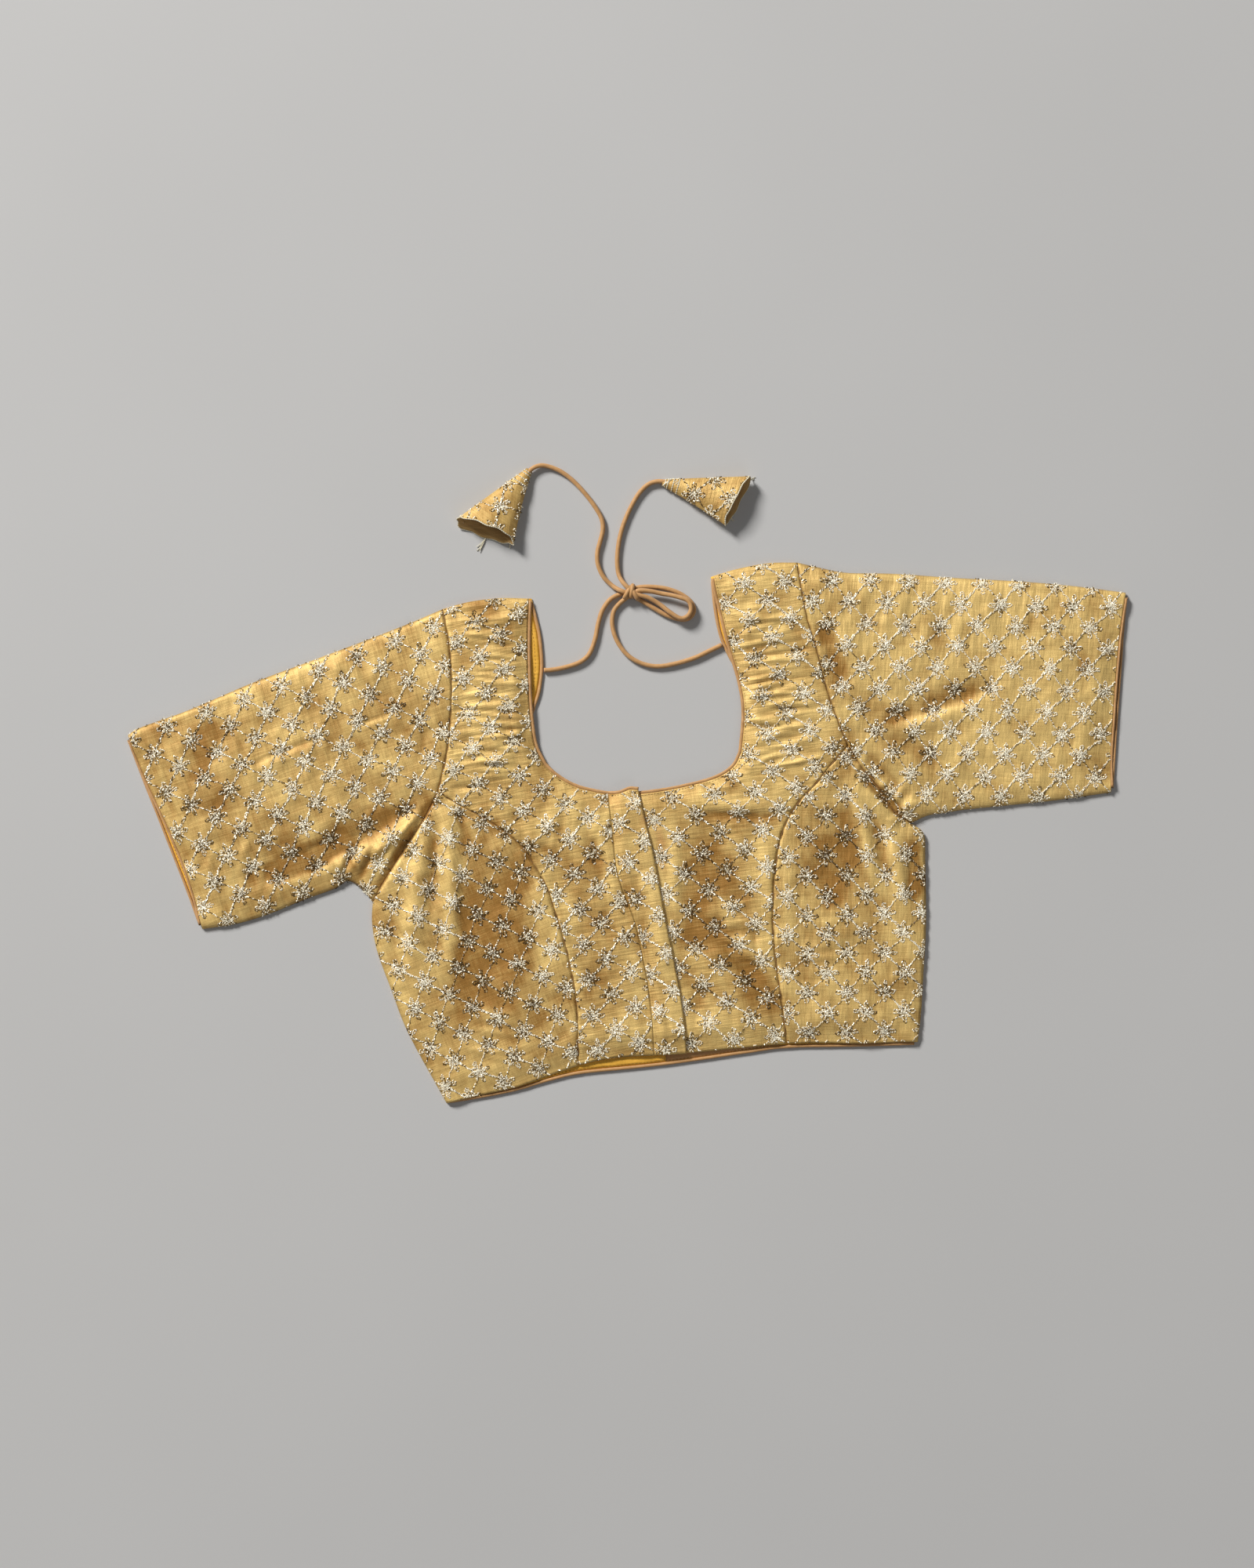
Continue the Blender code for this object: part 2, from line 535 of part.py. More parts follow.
def make_facings():
    """The yellow lining, where the lower layer reaches past the upper one."""
    clear = 2 * PIPING_RADIUS + 2 * CLEARANCE
    hem = edge("hem_back", HEM)
    hem = hem[(hem[:, 0] > HEM_FACING_FROM) & (hem[:, 0] < HEM_FACING_TO)]
    facing("hem_facing", moved_left(hem, clear), moved_left(hem, clear + HEM_FACING_WIDTH))
    neck = edge("neck_back", 2 * BACK_NECK)
    for side, way, low, high in (("right", 1, 118, 180), ("left", -1, 92, 164)):
        line = neck[(way * neck[:, 0] > 0) & (neck[:, 1] > low) & (neck[:, 1] < high)]
        facing(f"neck_facing_{side}", moved_left(line, clear), moved_left(line, clear + NECK_FACING_WIDTH))
    for side in ("left", "right"):
        lower = sleeve_patches(side)[1]
        strip = lower[-1, CUFF_FACING_END:-CUFF_FACING_END]
        back = lower[-2, CUFF_FACING_END:-CUFF_FACING_END] - strip
        back /= np.linalg.norm(back, axis=1)[:, None]
        facing(f"cuff_facing_{side}", strip + SEAM_GAP / 2 * back, strip + CUFF_FACING_WIDTH * back)


def make_dori():
    """The two tie cords, in the stretches between the neck, the knot, the bow and the cones."""
    for name, route in ROUTES.items():
        line = smooth_line(route)
        length = np.linalg.norm(np.diff(line, axis=0), axis=1).sum()
        tube(name, along(line, round(length / ROUTE_STEP)), DORI_RADIUS, TAN, DORI_SIDES)
    bm = bmesh.new()
    bmesh.ops.create_uvsphere(bm, u_segments=KNOT_SEGMENTS, v_segments=KNOT_RINGS, radius=1)
    for vert in bm.verts:
        vert.co = (np.array(KNOT_CENTRE) + np.array(KNOT_RADII) * np.array(vert.co)) * MM
    mesh = bpy.data.meshes.new("dori_knot")
    bm.to_mesh(mesh)
    bm.free()
    mesh.shade_smooth()
    add_object("dori_knot", mesh, TAN)


def make_latkans():
    """Folded cones of the blouse's cloth, lying on their sides with open, slanting mouths."""
    for name, cone in LATKANS.items():
        apex, mouth = np.array(cone.apex), np.array(cone.mouth)
        length = np.linalg.norm(mouth - apex)
        axis = (mouth - apex) / length
        across = np.array([-axis[1], axis[0]])
        turn = np.linspace(0, 2 * np.pi, LATKAN_SIDES + 1)
        grids = []
        for depth in (0.0, LATKAN_WALL):
            rings = []
            for share in np.linspace(0, 1, LATKAN_ROWS + 1):
                half_width = LATKAN_APEX_RADIUS + (cone.mouth_width / 2 - LATKAN_APEX_RADIUS) * share
                half_height = LATKAN_APEX_RADIUS + (cone.mouth_height / 2 - LATKAN_APEX_RADIUS) * share
                sideways = (half_width - depth) * np.cos(turn)
                upwards = half_height + (half_height - depth) * np.sin(turn)
                ahead = share * length - LATKAN_SLANT * share**2 * (0.5 + 0.5 * np.sin(turn))
                plan = apex + ahead[:, None] * axis + sideways[:, None] * across
                rings.append(raised(plan, upwards))
            grids.append(np.stack(rings))
        cloth_wall(name, grids[0], grids[1], GOLD, tube=True)


clear_scene()
blouse = bpy.data.collections.new("saree_blouse")
bpy.context.scene.collection.children.link(blouse)
make_back()
make_fronts()
make_placket()
for sleeve_side in ("left", "right"):
    make_sleeve(sleeve_side)
make_piping()
make_facings()
make_dori()
make_latkans()
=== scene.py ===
"""The looks of a gold tissue saree blouse, lying on its back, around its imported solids.

Sizes are in millimetres until a piece's mesh is made. Left and right are -X and +X.
"""

import math
from collections import namedtuple
from contextlib import contextmanager

import bmesh
import bpy
import numpy as np
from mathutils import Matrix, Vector


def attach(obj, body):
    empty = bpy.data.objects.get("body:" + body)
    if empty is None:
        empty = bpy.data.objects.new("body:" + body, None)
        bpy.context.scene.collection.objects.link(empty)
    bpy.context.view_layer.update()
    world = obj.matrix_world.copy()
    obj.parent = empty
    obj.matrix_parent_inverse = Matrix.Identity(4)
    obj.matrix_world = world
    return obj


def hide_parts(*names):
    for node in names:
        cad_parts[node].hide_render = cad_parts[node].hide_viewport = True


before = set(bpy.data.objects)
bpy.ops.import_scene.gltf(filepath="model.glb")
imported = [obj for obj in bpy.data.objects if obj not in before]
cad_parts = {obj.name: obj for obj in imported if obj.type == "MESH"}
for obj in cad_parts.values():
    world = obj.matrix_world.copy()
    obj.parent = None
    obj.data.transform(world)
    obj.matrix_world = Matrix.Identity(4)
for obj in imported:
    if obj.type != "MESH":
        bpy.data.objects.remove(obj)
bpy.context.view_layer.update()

MM = 0.001

# The cloth, as thin as it really is, and how it lies
CLOTH = 0.7
SLEEVE_CLOTH = 0.5
UNDERSIDE = 0.62
FOLD_HEIGHT = 4.0
EDGE_RISE, EDGE_REACH = 1.2, 14.0
BODY_RISE, BODY_REACH = 1.8, 70.0
HEM_DROP, HEM_REACH, NECK_REACH = 1.5, 20.0, 14.0
HEM_FLATTENING = 0.6
CREASE_REACH, LEAST_LIFT = 9.0, 0.2
ROUND_REACH, SLEEVE_ROUND_REACH = 5.0, 3.0
BODY_FOLD, SLEEVE_FOLD = 2.1, 1.4
SEAM_INSET = 0.05
SEAM_DEPTH, SEAM_WIDTH = 0.8, 1.0
SEAM_PUCKER, SEAM_PUCKER_REACH, SEAM_PUCKER_CELL = 0.6, 5, 4.2
PLACKET_LIFT, PLACKET_CLIMB = 1.9, 8.0
PIPING_RADIUS, PIPING_FLATNESS, PIPING_MIDDLE = 1.25, 0.65, 1.35
NECK_PIPING_SINK, CUFF_PIPING_SINK, CUFF_RADIUS = 0.55, 0.5, 1.0
TRIM_LAP, CUFF_LAP, BACK_LAP = 0.5, 0.3, 0.4
FACING_CLOTH, FACING_RISE, FACING_INNER_SINK, FACING_OUTER_SINK = 0.4, 0.45, 0.25, 0.35
HEM_FACING, NECK_FACING, CUFF_FACING = 14, 10, 12
# The dark line in each seam's ditch, a painted shadow of the ditch
SEAM_SHADOW_RADIUS, SEAM_SHADOW_SINK = 0.3, 0.1
THREAD_RISE = 0.05
DORI_RADIUS, DORI_STEP = 1.75, 1.6
KNOT_TURNS = ((0.4, 183.6, 0.5), (3.6, 184.6, 0.2), (5.8, 182.4, -0.55))
KNOT_MIDDLE, KNOT_RISE = 4.6, 2.6
CONE_CLOTH, APEX_RADIUS, FRAY_RADIUS = 0.6, 2.45, 0.28
CONE_STITCH = (0.0010, 0.0006, 0.0005)
CONE_TONE, CONE_PATCHES, CONE_WOBBLE, MOUTH_WAVE = 0.55, 0.2, 0.06, 1.2
NECK_PITCH, FACING_PITCH, RIM_PITCH, COLLAR_PITCH = 2.4, 2.8, 1.7, 1.9
NECK_PIPING_START, NECK_STITCHES_START, NECK_STITCHES_GAP = 6.5, 11, 0.7
TIP_OPENING = 0.2

# The cloth's own unevenness and its patches of gold, each as a strength, a cell's size and a seed
UNEVENNESS = ((0.7, 45, 3), (0.6, 17, 1), (0.36, 7, 2))
PATCHES = ((0.12, 30, 5), (0.22, 13, 6), (0.10, 6, 7))
GOLD_LEVEL, PLAIN_LEVEL = 0.68, 0.6
# Painted highlight on ridges, painted shade in troughs deeper than TROUGH_START, and painted shade along the
# seams
RIDGE_SHINE, TROUGH_SHADE, TROUGH_START, SEAM_SHADE = 0.16, 0.36, 0.4, 0.15

# The weave: how its noises are drawn out along the warp and the weft, and what each adds to the tone
SLUB_STRETCHES = ((70, 1500, 1), (1300, 90, 1))
CRINKLE_STRETCHES = ((48, 420, 1), (330, 60, 1))
DRIFT_SCALE = 55.0
TONE_WEIGHTS = {"Slub": 1.3, "Drift": 1.3, "Crinkle": 0.65}
TONE_BALANCE = 1.62
STAIN_COLOUR = (0.50, 0.15, 0.05)
SLUB_ROUGHNESS = 0.3
FOLD_BUMP, FOLD_DISTANCE, THREAD_DISTANCE = 0.36, 0.0025, 0.0003
RIB, WEAR_SCALE = 0.0007, 260.0

# The embroidery, in metres. Its stitches are finer on top than on the hidden side
Work = namedtuple("Work", "suffix margin pitch stitch segments")
UPPER_WORK = Work("zari", 0.6, 0.0012, (0.00095, 0.00055, 0.00042), 4)
UNDER_WORK = Work("zari_under", 2.2, 0.0043, (0.0019, 0.0007, 0.00025), 3)
PETAL_START, LOOP_REACH, LOOP_SPREAD = 0.12, 4 / 3, 3.47
CORE = (0.2, 0.78)
LINES_OF_STITCHES = (
    ("Rising side", 0.0004, 0.16), ("Rising side", -0.0004, 0.16), ("Falling side", 0.0, 0.24),
)
WANDER, WANDER_SCALE = 0.005, 16.0
STRAY, DROP, STEEPEST = 0.00048, 0.06, -0.3

# How finely each seam is divided, so that the pieces on both sides of it meet point for point
FINENESS = 7
ARMHOLE_UPPER, ARMHOLE_LOWER, SIDE = 12 * FINENESS, 6 * FINENESS, 12 * FINENESS
NECK_STRAP, NECK_BASE, CENTRE = 12 * FINENESS, 6 * FINENESS, 12 * FINENESS
PRINCESS = ARMHOLE_LOWER + SIDE
CENTRE_COLUMNS, SIDE_COLUMNS, PLACKET_COLUMNS = 44, 46, 16
SLEEVE_ROWS, BENEATH_COLUMNS = 98, 20
BACK_UPPER, BACK_LOWER, BACK_COLUMNS = 32, 24, 16
BACK_SHIFT = 9

EDGES = {
    "shoulder_left": [(-141, 171), (-120, 176.5), (-96, 179.3), (-73, 179)],
    "armhole_upper_left": [
        (-141, 171), (-136, 145), (-134, 118), (-134.5, 93), (-137.5, 61), (-144.5, 30.5),
    ],
    "armhole_lower_left": [(-144.5, 30.5), (-156, 8.5), (-171, -14), (-185, -36), (-194.5, -53)],
    "princess_left": [
        (-144.5, 30.5), (-124, 19), (-104, 8), (-85, -6), (-72, -23), (-61, -42), (-53, -66), (-46, -90),
        (-41, -113), (-38, -138), (-37, -178),
    ],
    "side_left": [(-194.5, -53), (-195, -69), (-191, -91), (-180, -121), (-167, -154), (-138, -207)],
    "neck_strap_left": [(-73, 179), (-74, 145), (-73.2, 109), (-71.4, 85), (-68.4, 67), (-62, 53.5)],
    "neck_base_left": [(-62, 53.5), (-55.5, 47), (-46, 40.5), (-36, 36), (-24, 33), (-14.4, 31.4)],
    "placket_seam": [
        (-14.4, 31.4), (-10.8, 1), (-8.4, -23), (-3.5, -42), (6, -67), (12, -94), (16.2, -117),
        (18.8, -138), (21, -170.3),
    ],
    "placket_top": [(-14.4, 31.4), (-6, 32), (2, 35), (9, 34.6)],
    "placket_edge": [
        (9, 34.6), (14.7, 8.4), (19.8, -12), (25.8, -44), (28.8, -62), (34.8, -91), (38.4, -110),
        (41.4, -127), (43.8, -144), (45.6, -169),
    ],
    "underlap": [(0, 30.5), (6, -24), (15, -56), (23, -93), (30.5, -137), (33, -169.6)],
    "neck_base_right": [(85.5, 62), (79.8, 51.5), (66, 43), (42, 36.6), (22, 33), (0, 30.5)],
    "neck_strap_right": [(64.2, 195.6), (67.8, 178), (76.8, 142), (84.6, 115), (87.8, 92), (85.5, 62)],
    "shoulder_right": [(64.2, 195.6), (84, 201.6), (108, 206), (130.2, 206.6)],
    "armhole_upper_right": [
        (130.2, 206.6), (133.2, 187), (138, 163), (145.2, 139), (153, 109), (160.2, 88), (169, 66.5),
    ],
    "armhole_lower_right": [(169, 66.5), (180, 49), (192, 34), (205, 16), (217, 7)],
    "princess_right": [
        (169, 66.5), (156, 52), (144, 37), (132, 24), (123, 10), (117, -6), (113, -32), (111.5, -60),
        (112.8, -89), (117.6, -125), (122.4, -161.3),
    ],
    "side_right": [
        (217, 7), (227, -1), (228.2, -23), (228.7, -71), (226.8, -107), (225, -137), (222.5, -160),
    ],
    "hem_side_left": [(-138, -207), (-108, -200), (-84, -194.5), (-60, -186), (-37, -178)],
    "hem_centre_left": [(-37, -178), (-20, -173.8), (0, -171.5), (21, -170.3)],
    "hem_placket": [(21, -170.3), (45.6, -169)],
    "hem_centre_right": [(33, -169.6), (60, -167.4), (84, -165), (108, -162.6), (122.4, -161.3)],
    "hem_side_right": [(122.4, -161.3), (150, -160.8), (174, -161.4), (198, -160.8), (222.5, -160)],
    "hem_back_left": [(-138, -207), (-108, -202), (-84, -197), (-60, -190), (-36, -184.5), (6, -180.2)],
    "hem_back_right": [
        (6, -180.2), (30, -177.5), (60, -173.3), (90, -168.8), (123, -164.5), (174, -163.5), (222.5, -162),
    ],
    "neck_back_right": [
        (64.2, 195.6), (66.5, 172), (71, 150), (79, 132), (87, 118), (93, 95), (94, 60), (88, 20),
        (68, -20), (40, -37), (6, -42),
    ],
    "neck_back_left": [
        (6, -42), (-40, -35), (-68, -8), (-80, 35), (-78, 70), (-71, 94), (-66.5, 108), (-64.3, 128),
        (-66, 150), (-69, 164), (-73, 179),
    ],
    "centre_back": [(6, -42), (6, -110), (6, -180.2)],
    "sleeve_top_left": [
        (-141, 171), (-168, 159.5), (-204, 145.5), (-240, 132), (-288, 114), (-336, 93.5), (-372, 80.5),
        (-382.8, 74),
    ],
    "sleeve_under_left": [
        (-194.5, -53), (-204, -42), (-214, -37), (-224, -43), (-246, -51), (-276, -63), (-300, -70),
        (-326, -74),
    ],
    "cuff_upper_left": [(-382.8, 74), (-371, 44), (-356, 12), (-342, -20), (-333, -46), (-326, -74)],
    "cuff_lower_left": [(-382.8, 74), (-372, 45), (-360, 15), (-347, -18), (-336, -46), (-326, -74)],
    "sleeve_top_right": [
        (130.2, 206.6), (146, 203), (168, 198.8), (204, 198), (252, 194.8), (300, 192.2), (342, 188.6),
        (382.8, 183.4),
    ],
    "sleeve_under_right": [
        (217, 7), (230, 13), (243, 15), (258, 17.5), (288, 20.5), (330, 25), (371.5, 31),
    ],
    "cuff_upper_right": [(382.8, 183.4), (378, 150), (375, 118), (372.6, 84), (371, 56), (371.5, 31)],
    "cuff_lower_right": [(382.8, 183.4), (380, 157), (378, 127), (375.8, 97), (373.4, 61), (371.5, 31)],
}

# The edges where the cloth is folded or closed, the open ones, and the seams across the front
CLOSED = (
    "shoulder_left", "shoulder_right", "side_left", "side_right",
    "sleeve_top_left", "sleeve_top_right", "sleeve_under_left", "sleeve_under_right",
)
HEMS = (
    "hem_side_left", "hem_centre_left", "hem_placket", "hem_centre_right", "hem_side_right",
    "cuff_upper_left", "cuff_upper_right",
)
NECKS = ("neck_strap_left", "neck_base_left", "placket_top", "neck_strap_right", "neck_base_right")
SEAMS = (
    "armhole_upper_left", "armhole_lower_left", "princess_left",
    "armhole_upper_right", "armhole_lower_right", "princess_right",
)

# A crease of the upper layer, as in the solids. Ridges have a positive height, troughs a negative one.
# Lean is how much narrower its right side is than its left, seen along it
Crease = namedtuple("Crease", "x0 y0 x1 y1 bow half_width height lean", defaults=(1.0,))
CREASES = [Crease(*row) for row in (
    # The left sleeve, from its underarm outwards
    (-292, -42, -146, 28, -5, 8, -2.8, 0.5), (-219, -30, -150, 21, -3, 4.2, 3.2, 0.8),
    (-206, -2, -220, -38, 1, 2.0, -3.2), (-148, 24, -190, -44, -2, 2.2, -3.4),
    (-160, 14, -186, -34, -2, 3.0, 1.8), (-191, -6, -205, -38, 0, 2.0, -2.6),
    (-215, 4, -262, -32, 3, 6, -1.4), (-288, 51, -232, 73, 1, 1.7, -1.2),
    (-290, 45, -226, 68, 1, 3.4, 0.8), (-208, 81, -183, 90, 0.5, 1.5, -1.1),
    (-208, 144, -188, 96, -2, 2.2, -1.5), (-201, 140, -184, 92, -2, 2.6, 1.3),
    (-193, 122, -184, 86, -1, 2.0, -1.1), (-226, 136, -214, 102, 1, 2.6, 1.1),
    (-243, 110, -234, 92, 0, 1.8, -0.9), (-216, 79, -189, 47, 1, 1.8, -1.1),
    (-236, 60, -216, 26, 2, 3.0, 0.9), (-262, 112, -246, 70, 2, 3.6, 0.8),
    (-318, 90, -309, 66, 0, 2.2, -0.9), (-333, 66, -320, 42, 0, 2.0, -1.0),
    (-363, 50, -343, 6, 1, 1.7, -1.2), (-352, 66, -338, 28, 1, 2.0, 1.0),
    (-346, 4, -332, -34, 1, 2.2, -0.9), (-330, 30, -318, -6, 1, 2.6, 0.8),
    (-308, -52, -302, -68, 0, 2.0, -1.1), (-276, -34, -262, -58, 0, 2.4, 0.9),
    (-152, 84, -160, 50, 0, 2.2, -0.8),
    # The left side panel, below the sleeve
    (-150, 10, -160, -122, -8, 4.6, 2.6), (-139, 20, -138, -112, 5, 4.0, 3.2),
    (-147, 8, -151, -74, 1, 3.2, -2.4), (-128, 16, -121, -10, 0, 2.2, -1.4),
    (-120, 12, -109, -18, 0, 2.4, 1.2), (-103, -2, -89, -22, 0, 2.6, 1.0),
    (-120, 8, -100, -165, -8, 14, -2.0), (-186, -50, -178, -108, 3, 4.0, -1.2),
    (-92, -70, -84, -140, 2, 6, 0.9),
    # The centre, left of the placket
    (-66, -30, -45, -95, -4, 4.6, 1.8), (-68, -8, -50, -22, 0, 2.2, -1.2),
    (-90, 16, -76, -1, 0, 2.4, -1.3), (-37, 26, -14, -60, 2, 4, -1.6), (-27, 20, -4, -62, 2, 4, 1.4),
    (-58, -60, -30, -74, 0, 2.6, 0.8), (-40, -100, -8, -128, 2, 3.4, -1.0),
    # The placket
    (14, 0, 37, -150, 0, 4.2, 1.3), (1, 6, 22, -140, 0, 3.0, -0.9),
    # The centre, right of the placket
    (46, 15, 122, 12, -1, 3.0, -1.5, 0.8), (42, 22, 120, 21, -1, 4, 1.5), (36, 8, 38, -74, 0, 3.0, 1.4),
    (66, 8, 58, -62, 4, 12, -1.6), (104, 5, 109, -60, 1, 4.4, 1.9), (44, -64, 108, -84, 3, 4, -1.3),
    (58, -70, 113, -136, 3, 6, -2.2, 0.5), (48, -86, 98, -142, 2, 5, 1.6),
    (97, -72, 99, -93, 0, 1.7, -1.6), (36, -96, 66, -150, 2, 4, -1.0),
    # The right side panel
    (170, 42, 189, -42, 3, 3.4, 2.2), (199, 12, 211, -62, 2, 3.8, 2.0), (184, 18, 200, -44, 2, 3.6, -1.8),
    (180, 45, 214, 9, -1, 2.8, -3.2, 0.6), (176, 38, 207, 4, -2, 3.2, 2.0),
    (150, 20, 158, -75, 3, 10, -1.8), (122, -16, 121, -84, 1, 4.4, 1.4), (218, -2, 221, -60, 0, 3.4, -1.6),
    (130, -86, 200, -94, 2, 5, -1.0), (140, -120, 212, -112, -2, 5, 1.0),
    # The right sleeve
    (194, 85, 292, 119, -4, 8.5, -2.0, 0.36), (196, 76, 284, 102, -2, 5, 1.5),
    (196, 78, 246, 42, 3, 6, -1.8), (188, 66, 238, 30, 2, 3.6, 1.8), (182, 60, 222, 20, 0, 2.4, -1.8),
    (146, 164, 169, 112, 0, 4, -1.5), (158, 168, 178, 122, 0, 3.4, 1.1),
    (183, 180, 181, 138, 0, 2.3, -1.0), (199, 178, 196, 140, 0, 2.6, 0.9),
    (216, 178, 213, 140, 0, 2.5, -0.9), (230, 174, 227, 138, 0, 2.6, 0.8),
    (262, 160, 256, 132, 0, 3.4, -0.7), (338, 152, 352, 108, 1, 2.6, -1.1), (328, 150, 320, 74, 2, 6, 1.0),
    (352, 98, 346, 56, 0, 2.8, 0.9), (300, 66, 312, 38, 0, 3.0, -0.8),
    # The straps' longest puckers
    (-133, 95, -112, 94, 0, 1.3, -1.3), (-99, 92, -78, 91, 0, 1.3, -1.3),
    (-96, 78, -73, 80, 0.5, 1.3, -1.3), (-132, 70, -112, 68, 0, 1.4, -1.2),
    (-118, 58, -92, 64, 0.5, 1.4, -1.2), (-136, 33, -104, 36, 0.5, 1.4, -1.4),
    (92, 132, 146, 142, 1, 1.5, -1.2), (92, 112, 148, 120, 1, 1.4, -1.3), (98, 96, 150, 96, -1, 1.4, -1.3),
    (96, 80, 150, 84, 1, 1.5, -1.3), (92, 66, 140, 62, -1, 1.5, -1.2),
)]

# Finer puckers, spaced unevenly along a line and reaching out to both sides of it
Gather = namedtuple("Gather", "x0 y0 x1 y1 reach spacing half_width height seed")
GATHERS = [Gather(*row) for row in (
    (-104, 164, -104, 40, 26, 4.0, 1.2, 1.6, 1), (106, 172, 124, 50, 28, 3.9, 1.2, 1.7, 2),
    (-60, 12, -14, -2, 26, 7.5, 2.0, 0.8, 3), (-176, 4, -216, -34, 22, 6.0, 1.9, 1.3, 4),
    (-52, -60, -30, -165, 13, 7.0, 1.8, 0.45, 5), (178, 50, 222, 18, 18, 6.0, 1.9, 1.2, 6),
    (-300, 100, -185, 136, 26, 8.0, 2.0, 1.0, 7), (-356, 50, -230, 66, 26, 10.0, 2.2, 1.0, 8),
    (180, 176, 350, 160, 26, 10.0, 2.4, 0.8, 9), (240, 50, 350, 60, 24, 12.0, 2.6, 0.7, 10),
    (-92, -136, -98, -174, 28, 6.0, 1.7, 1.0, 11), (80, -56, 86, -100, 22, 6.0, 1.7, 1.2, 12),
    (130, -140, 215, -136, 18, 9.0, 2.2, 0.65, 13), (60, 30, 90, 60, 14, 6.0, 1.6, 0.9, 14),
    (-330, -20, -240, -30, 22, 11.0, 2.2, 0.9, 15), (-150, -30, -178, -120, 16, 9.0, 2.2, 0.8, 16),
    (150, -60, 150, -120, 24, 9.0, 2.2, 0.75, 17), (0, -148, 110, -146, 16, 8.0, 2.0, 0.75, 18),
)]

# Each tie cord's route: x, y and z of its middle, from the back neck through the knot and the bow to its cone
LYING, ON_TOP, IN_APEX = 2.1, 6.2, 3.5
DORI_LEFT = [
    (-63.6, 124.2), (-57, 124.6), (-46.8, 126.6), (-36, 130.4), (-28.8, 136.8), (-24.4, 148), (-22, 160),
    (-18.6, 170.4), (-12.8, 178.4), (-6, 182.2), (0.6, 184.8), (7.4, 187.3), (18, 188), (30, 186.6),
    (41, 182.6), (48.8, 176.6), (51.2, 170), (48, 164.4), (41, 163), (30, 166.4), (20, 172), (12.4, 176.6),
    (6, 180.2, 3), (1, 182.6, 4.8), (-3.4, 184.4, ON_TOP), (-7, 186, 4.6), (-11.6, 189.2), (-18, 195.6),
    (-22.2, 205), (-22.6, 214.2), (-20.4, 223.2), (-18.4, 232), (-19.6, 240.4), (-25.2, 250.2),
    (-33, 260.4), (-42, 269.8), (-51, 276.4), (-60, 280, 2.2), (-67, 280.6, 3.0), (-73.4, 277.6, IN_APEX),
    (-79.4, 270.6, IN_APEX),
]
DORI_RIGHT = [
    (72.6, 143.6), (63, 139), (51, 133.4), (36, 129), (22.8, 127.2), (10.8, 129.6), (0, 136.2),
    (-7.8, 147), (-11.2, 158.6), (-10.4, 168.4), (-6.4, 174.6), (-0.6, 179.4, 2.6), (4.6, 183, 4.4),
    (9, 184.9, ON_TOP), (17, 184.6, 5.6), (26, 182.8, 4.8), (34, 181.4, 5.6), (41, 179.5, ON_TOP),
    (46.7, 177.2, ON_TOP), (49, 171.5, ON_TOP), (46.7, 165.8, ON_TOP), (41, 163.7, ON_TOP),
    (33, 168.3, ON_TOP), (25, 174.5, 4.8), (16.5, 179.4, 5.6), (9, 181.6, ON_TOP), (4, 184, ON_TOP),
    (-0.2, 188.1, ON_TOP), (-3.4, 191.6, 4.6), (-6.2, 197), (-7.4, 205), (-7.2, 214.4), (-5.4, 226.2),
    (-1.8, 238.2), (3.6, 250.2), (9.6, 260), (16.4, 266.4, 2.2), (23.4, 268.6, 3.0), (31, 267.8, IN_APEX),
    (39.6, 265.9, IN_APEX),
]

# Skew is how far the mouth slants, and open how far its upper rim is drawn back
Latkan = namedtuple("Latkan", "apex mouth mouth_width mouth_height skew open")
LATKANS = {
    "latkan_left": Latkan((-74.6, 277.4), (-112.0, 226.8), 45.0, 15.0, -0.25, 10.0),
    "latkan_right": Latkan((27.2, 267.7), (87.0, 253.2), 41.0, 14.0, 0.24, 5.0),
}

# Bundles of frayed thread at a cone's mouth
Fray = namedtuple("Fray", "x y heading reach threads")
FRAYS = {
    "latkan_left": [Fray(-110, 221, -128, 13, 5), Fray(-90, 219, -92, 5, 3)],
    "latkan_right": [Fray(94, 270, 15, 4.5, 3), Fray(82, 238, -60, 3.5, 2)],
}

# The lattice of the embroidery on each piece: the direction in degrees and the length of the side that
# rises to the right and of the one that falls, and the place of one flower
Lattice = namedtuple("Lattice", "rise rise_side fall fall_side x y")
LATTICES = {
    "sleeve_left": Lattice(63.7, 22.5, -26.0, 21.2, -294.0, 52.3),
    "sleeve_right": Lattice(45.4, 22.3, -52.0, 20.9, 237.3, 126.3),
    "front_centre_left": Lattice(49.5, 21.5, -31.0, 20.6, -104.1, 80.8),
    "front_centre_right": Lattice(49.0, 20.7, -35.3, 22.3, 75.7, -28.1),
    "front_side_left": Lattice(70.0, 21.7, -25.4, 21.0, -94.8, -71.2),
    "front_side_right": Lattice(45.5, 21.2, -45.0, 21.0, 167.3, -62.4),
    "placket": Lattice(51.8, 21.0, -33.0, 22.5, 18.8, -34.4),
    "back": Lattice(46.0, 21.0, -46.0, 21.0, 0.0, -80.0),
    "latkan_left": Lattice(75.0, 20.0, -15.0, 20.0, -97.2, 248.4),
    "latkan_right": Lattice(35.0, 20.0, -55.0, 20.0, 51.0, 258.0),
}

# The pieces whose doubled lines of stitches fall to the right. On the others they rise
FALLING = ("front_side_left", "front_centre_right", "placket", "front_side_right")
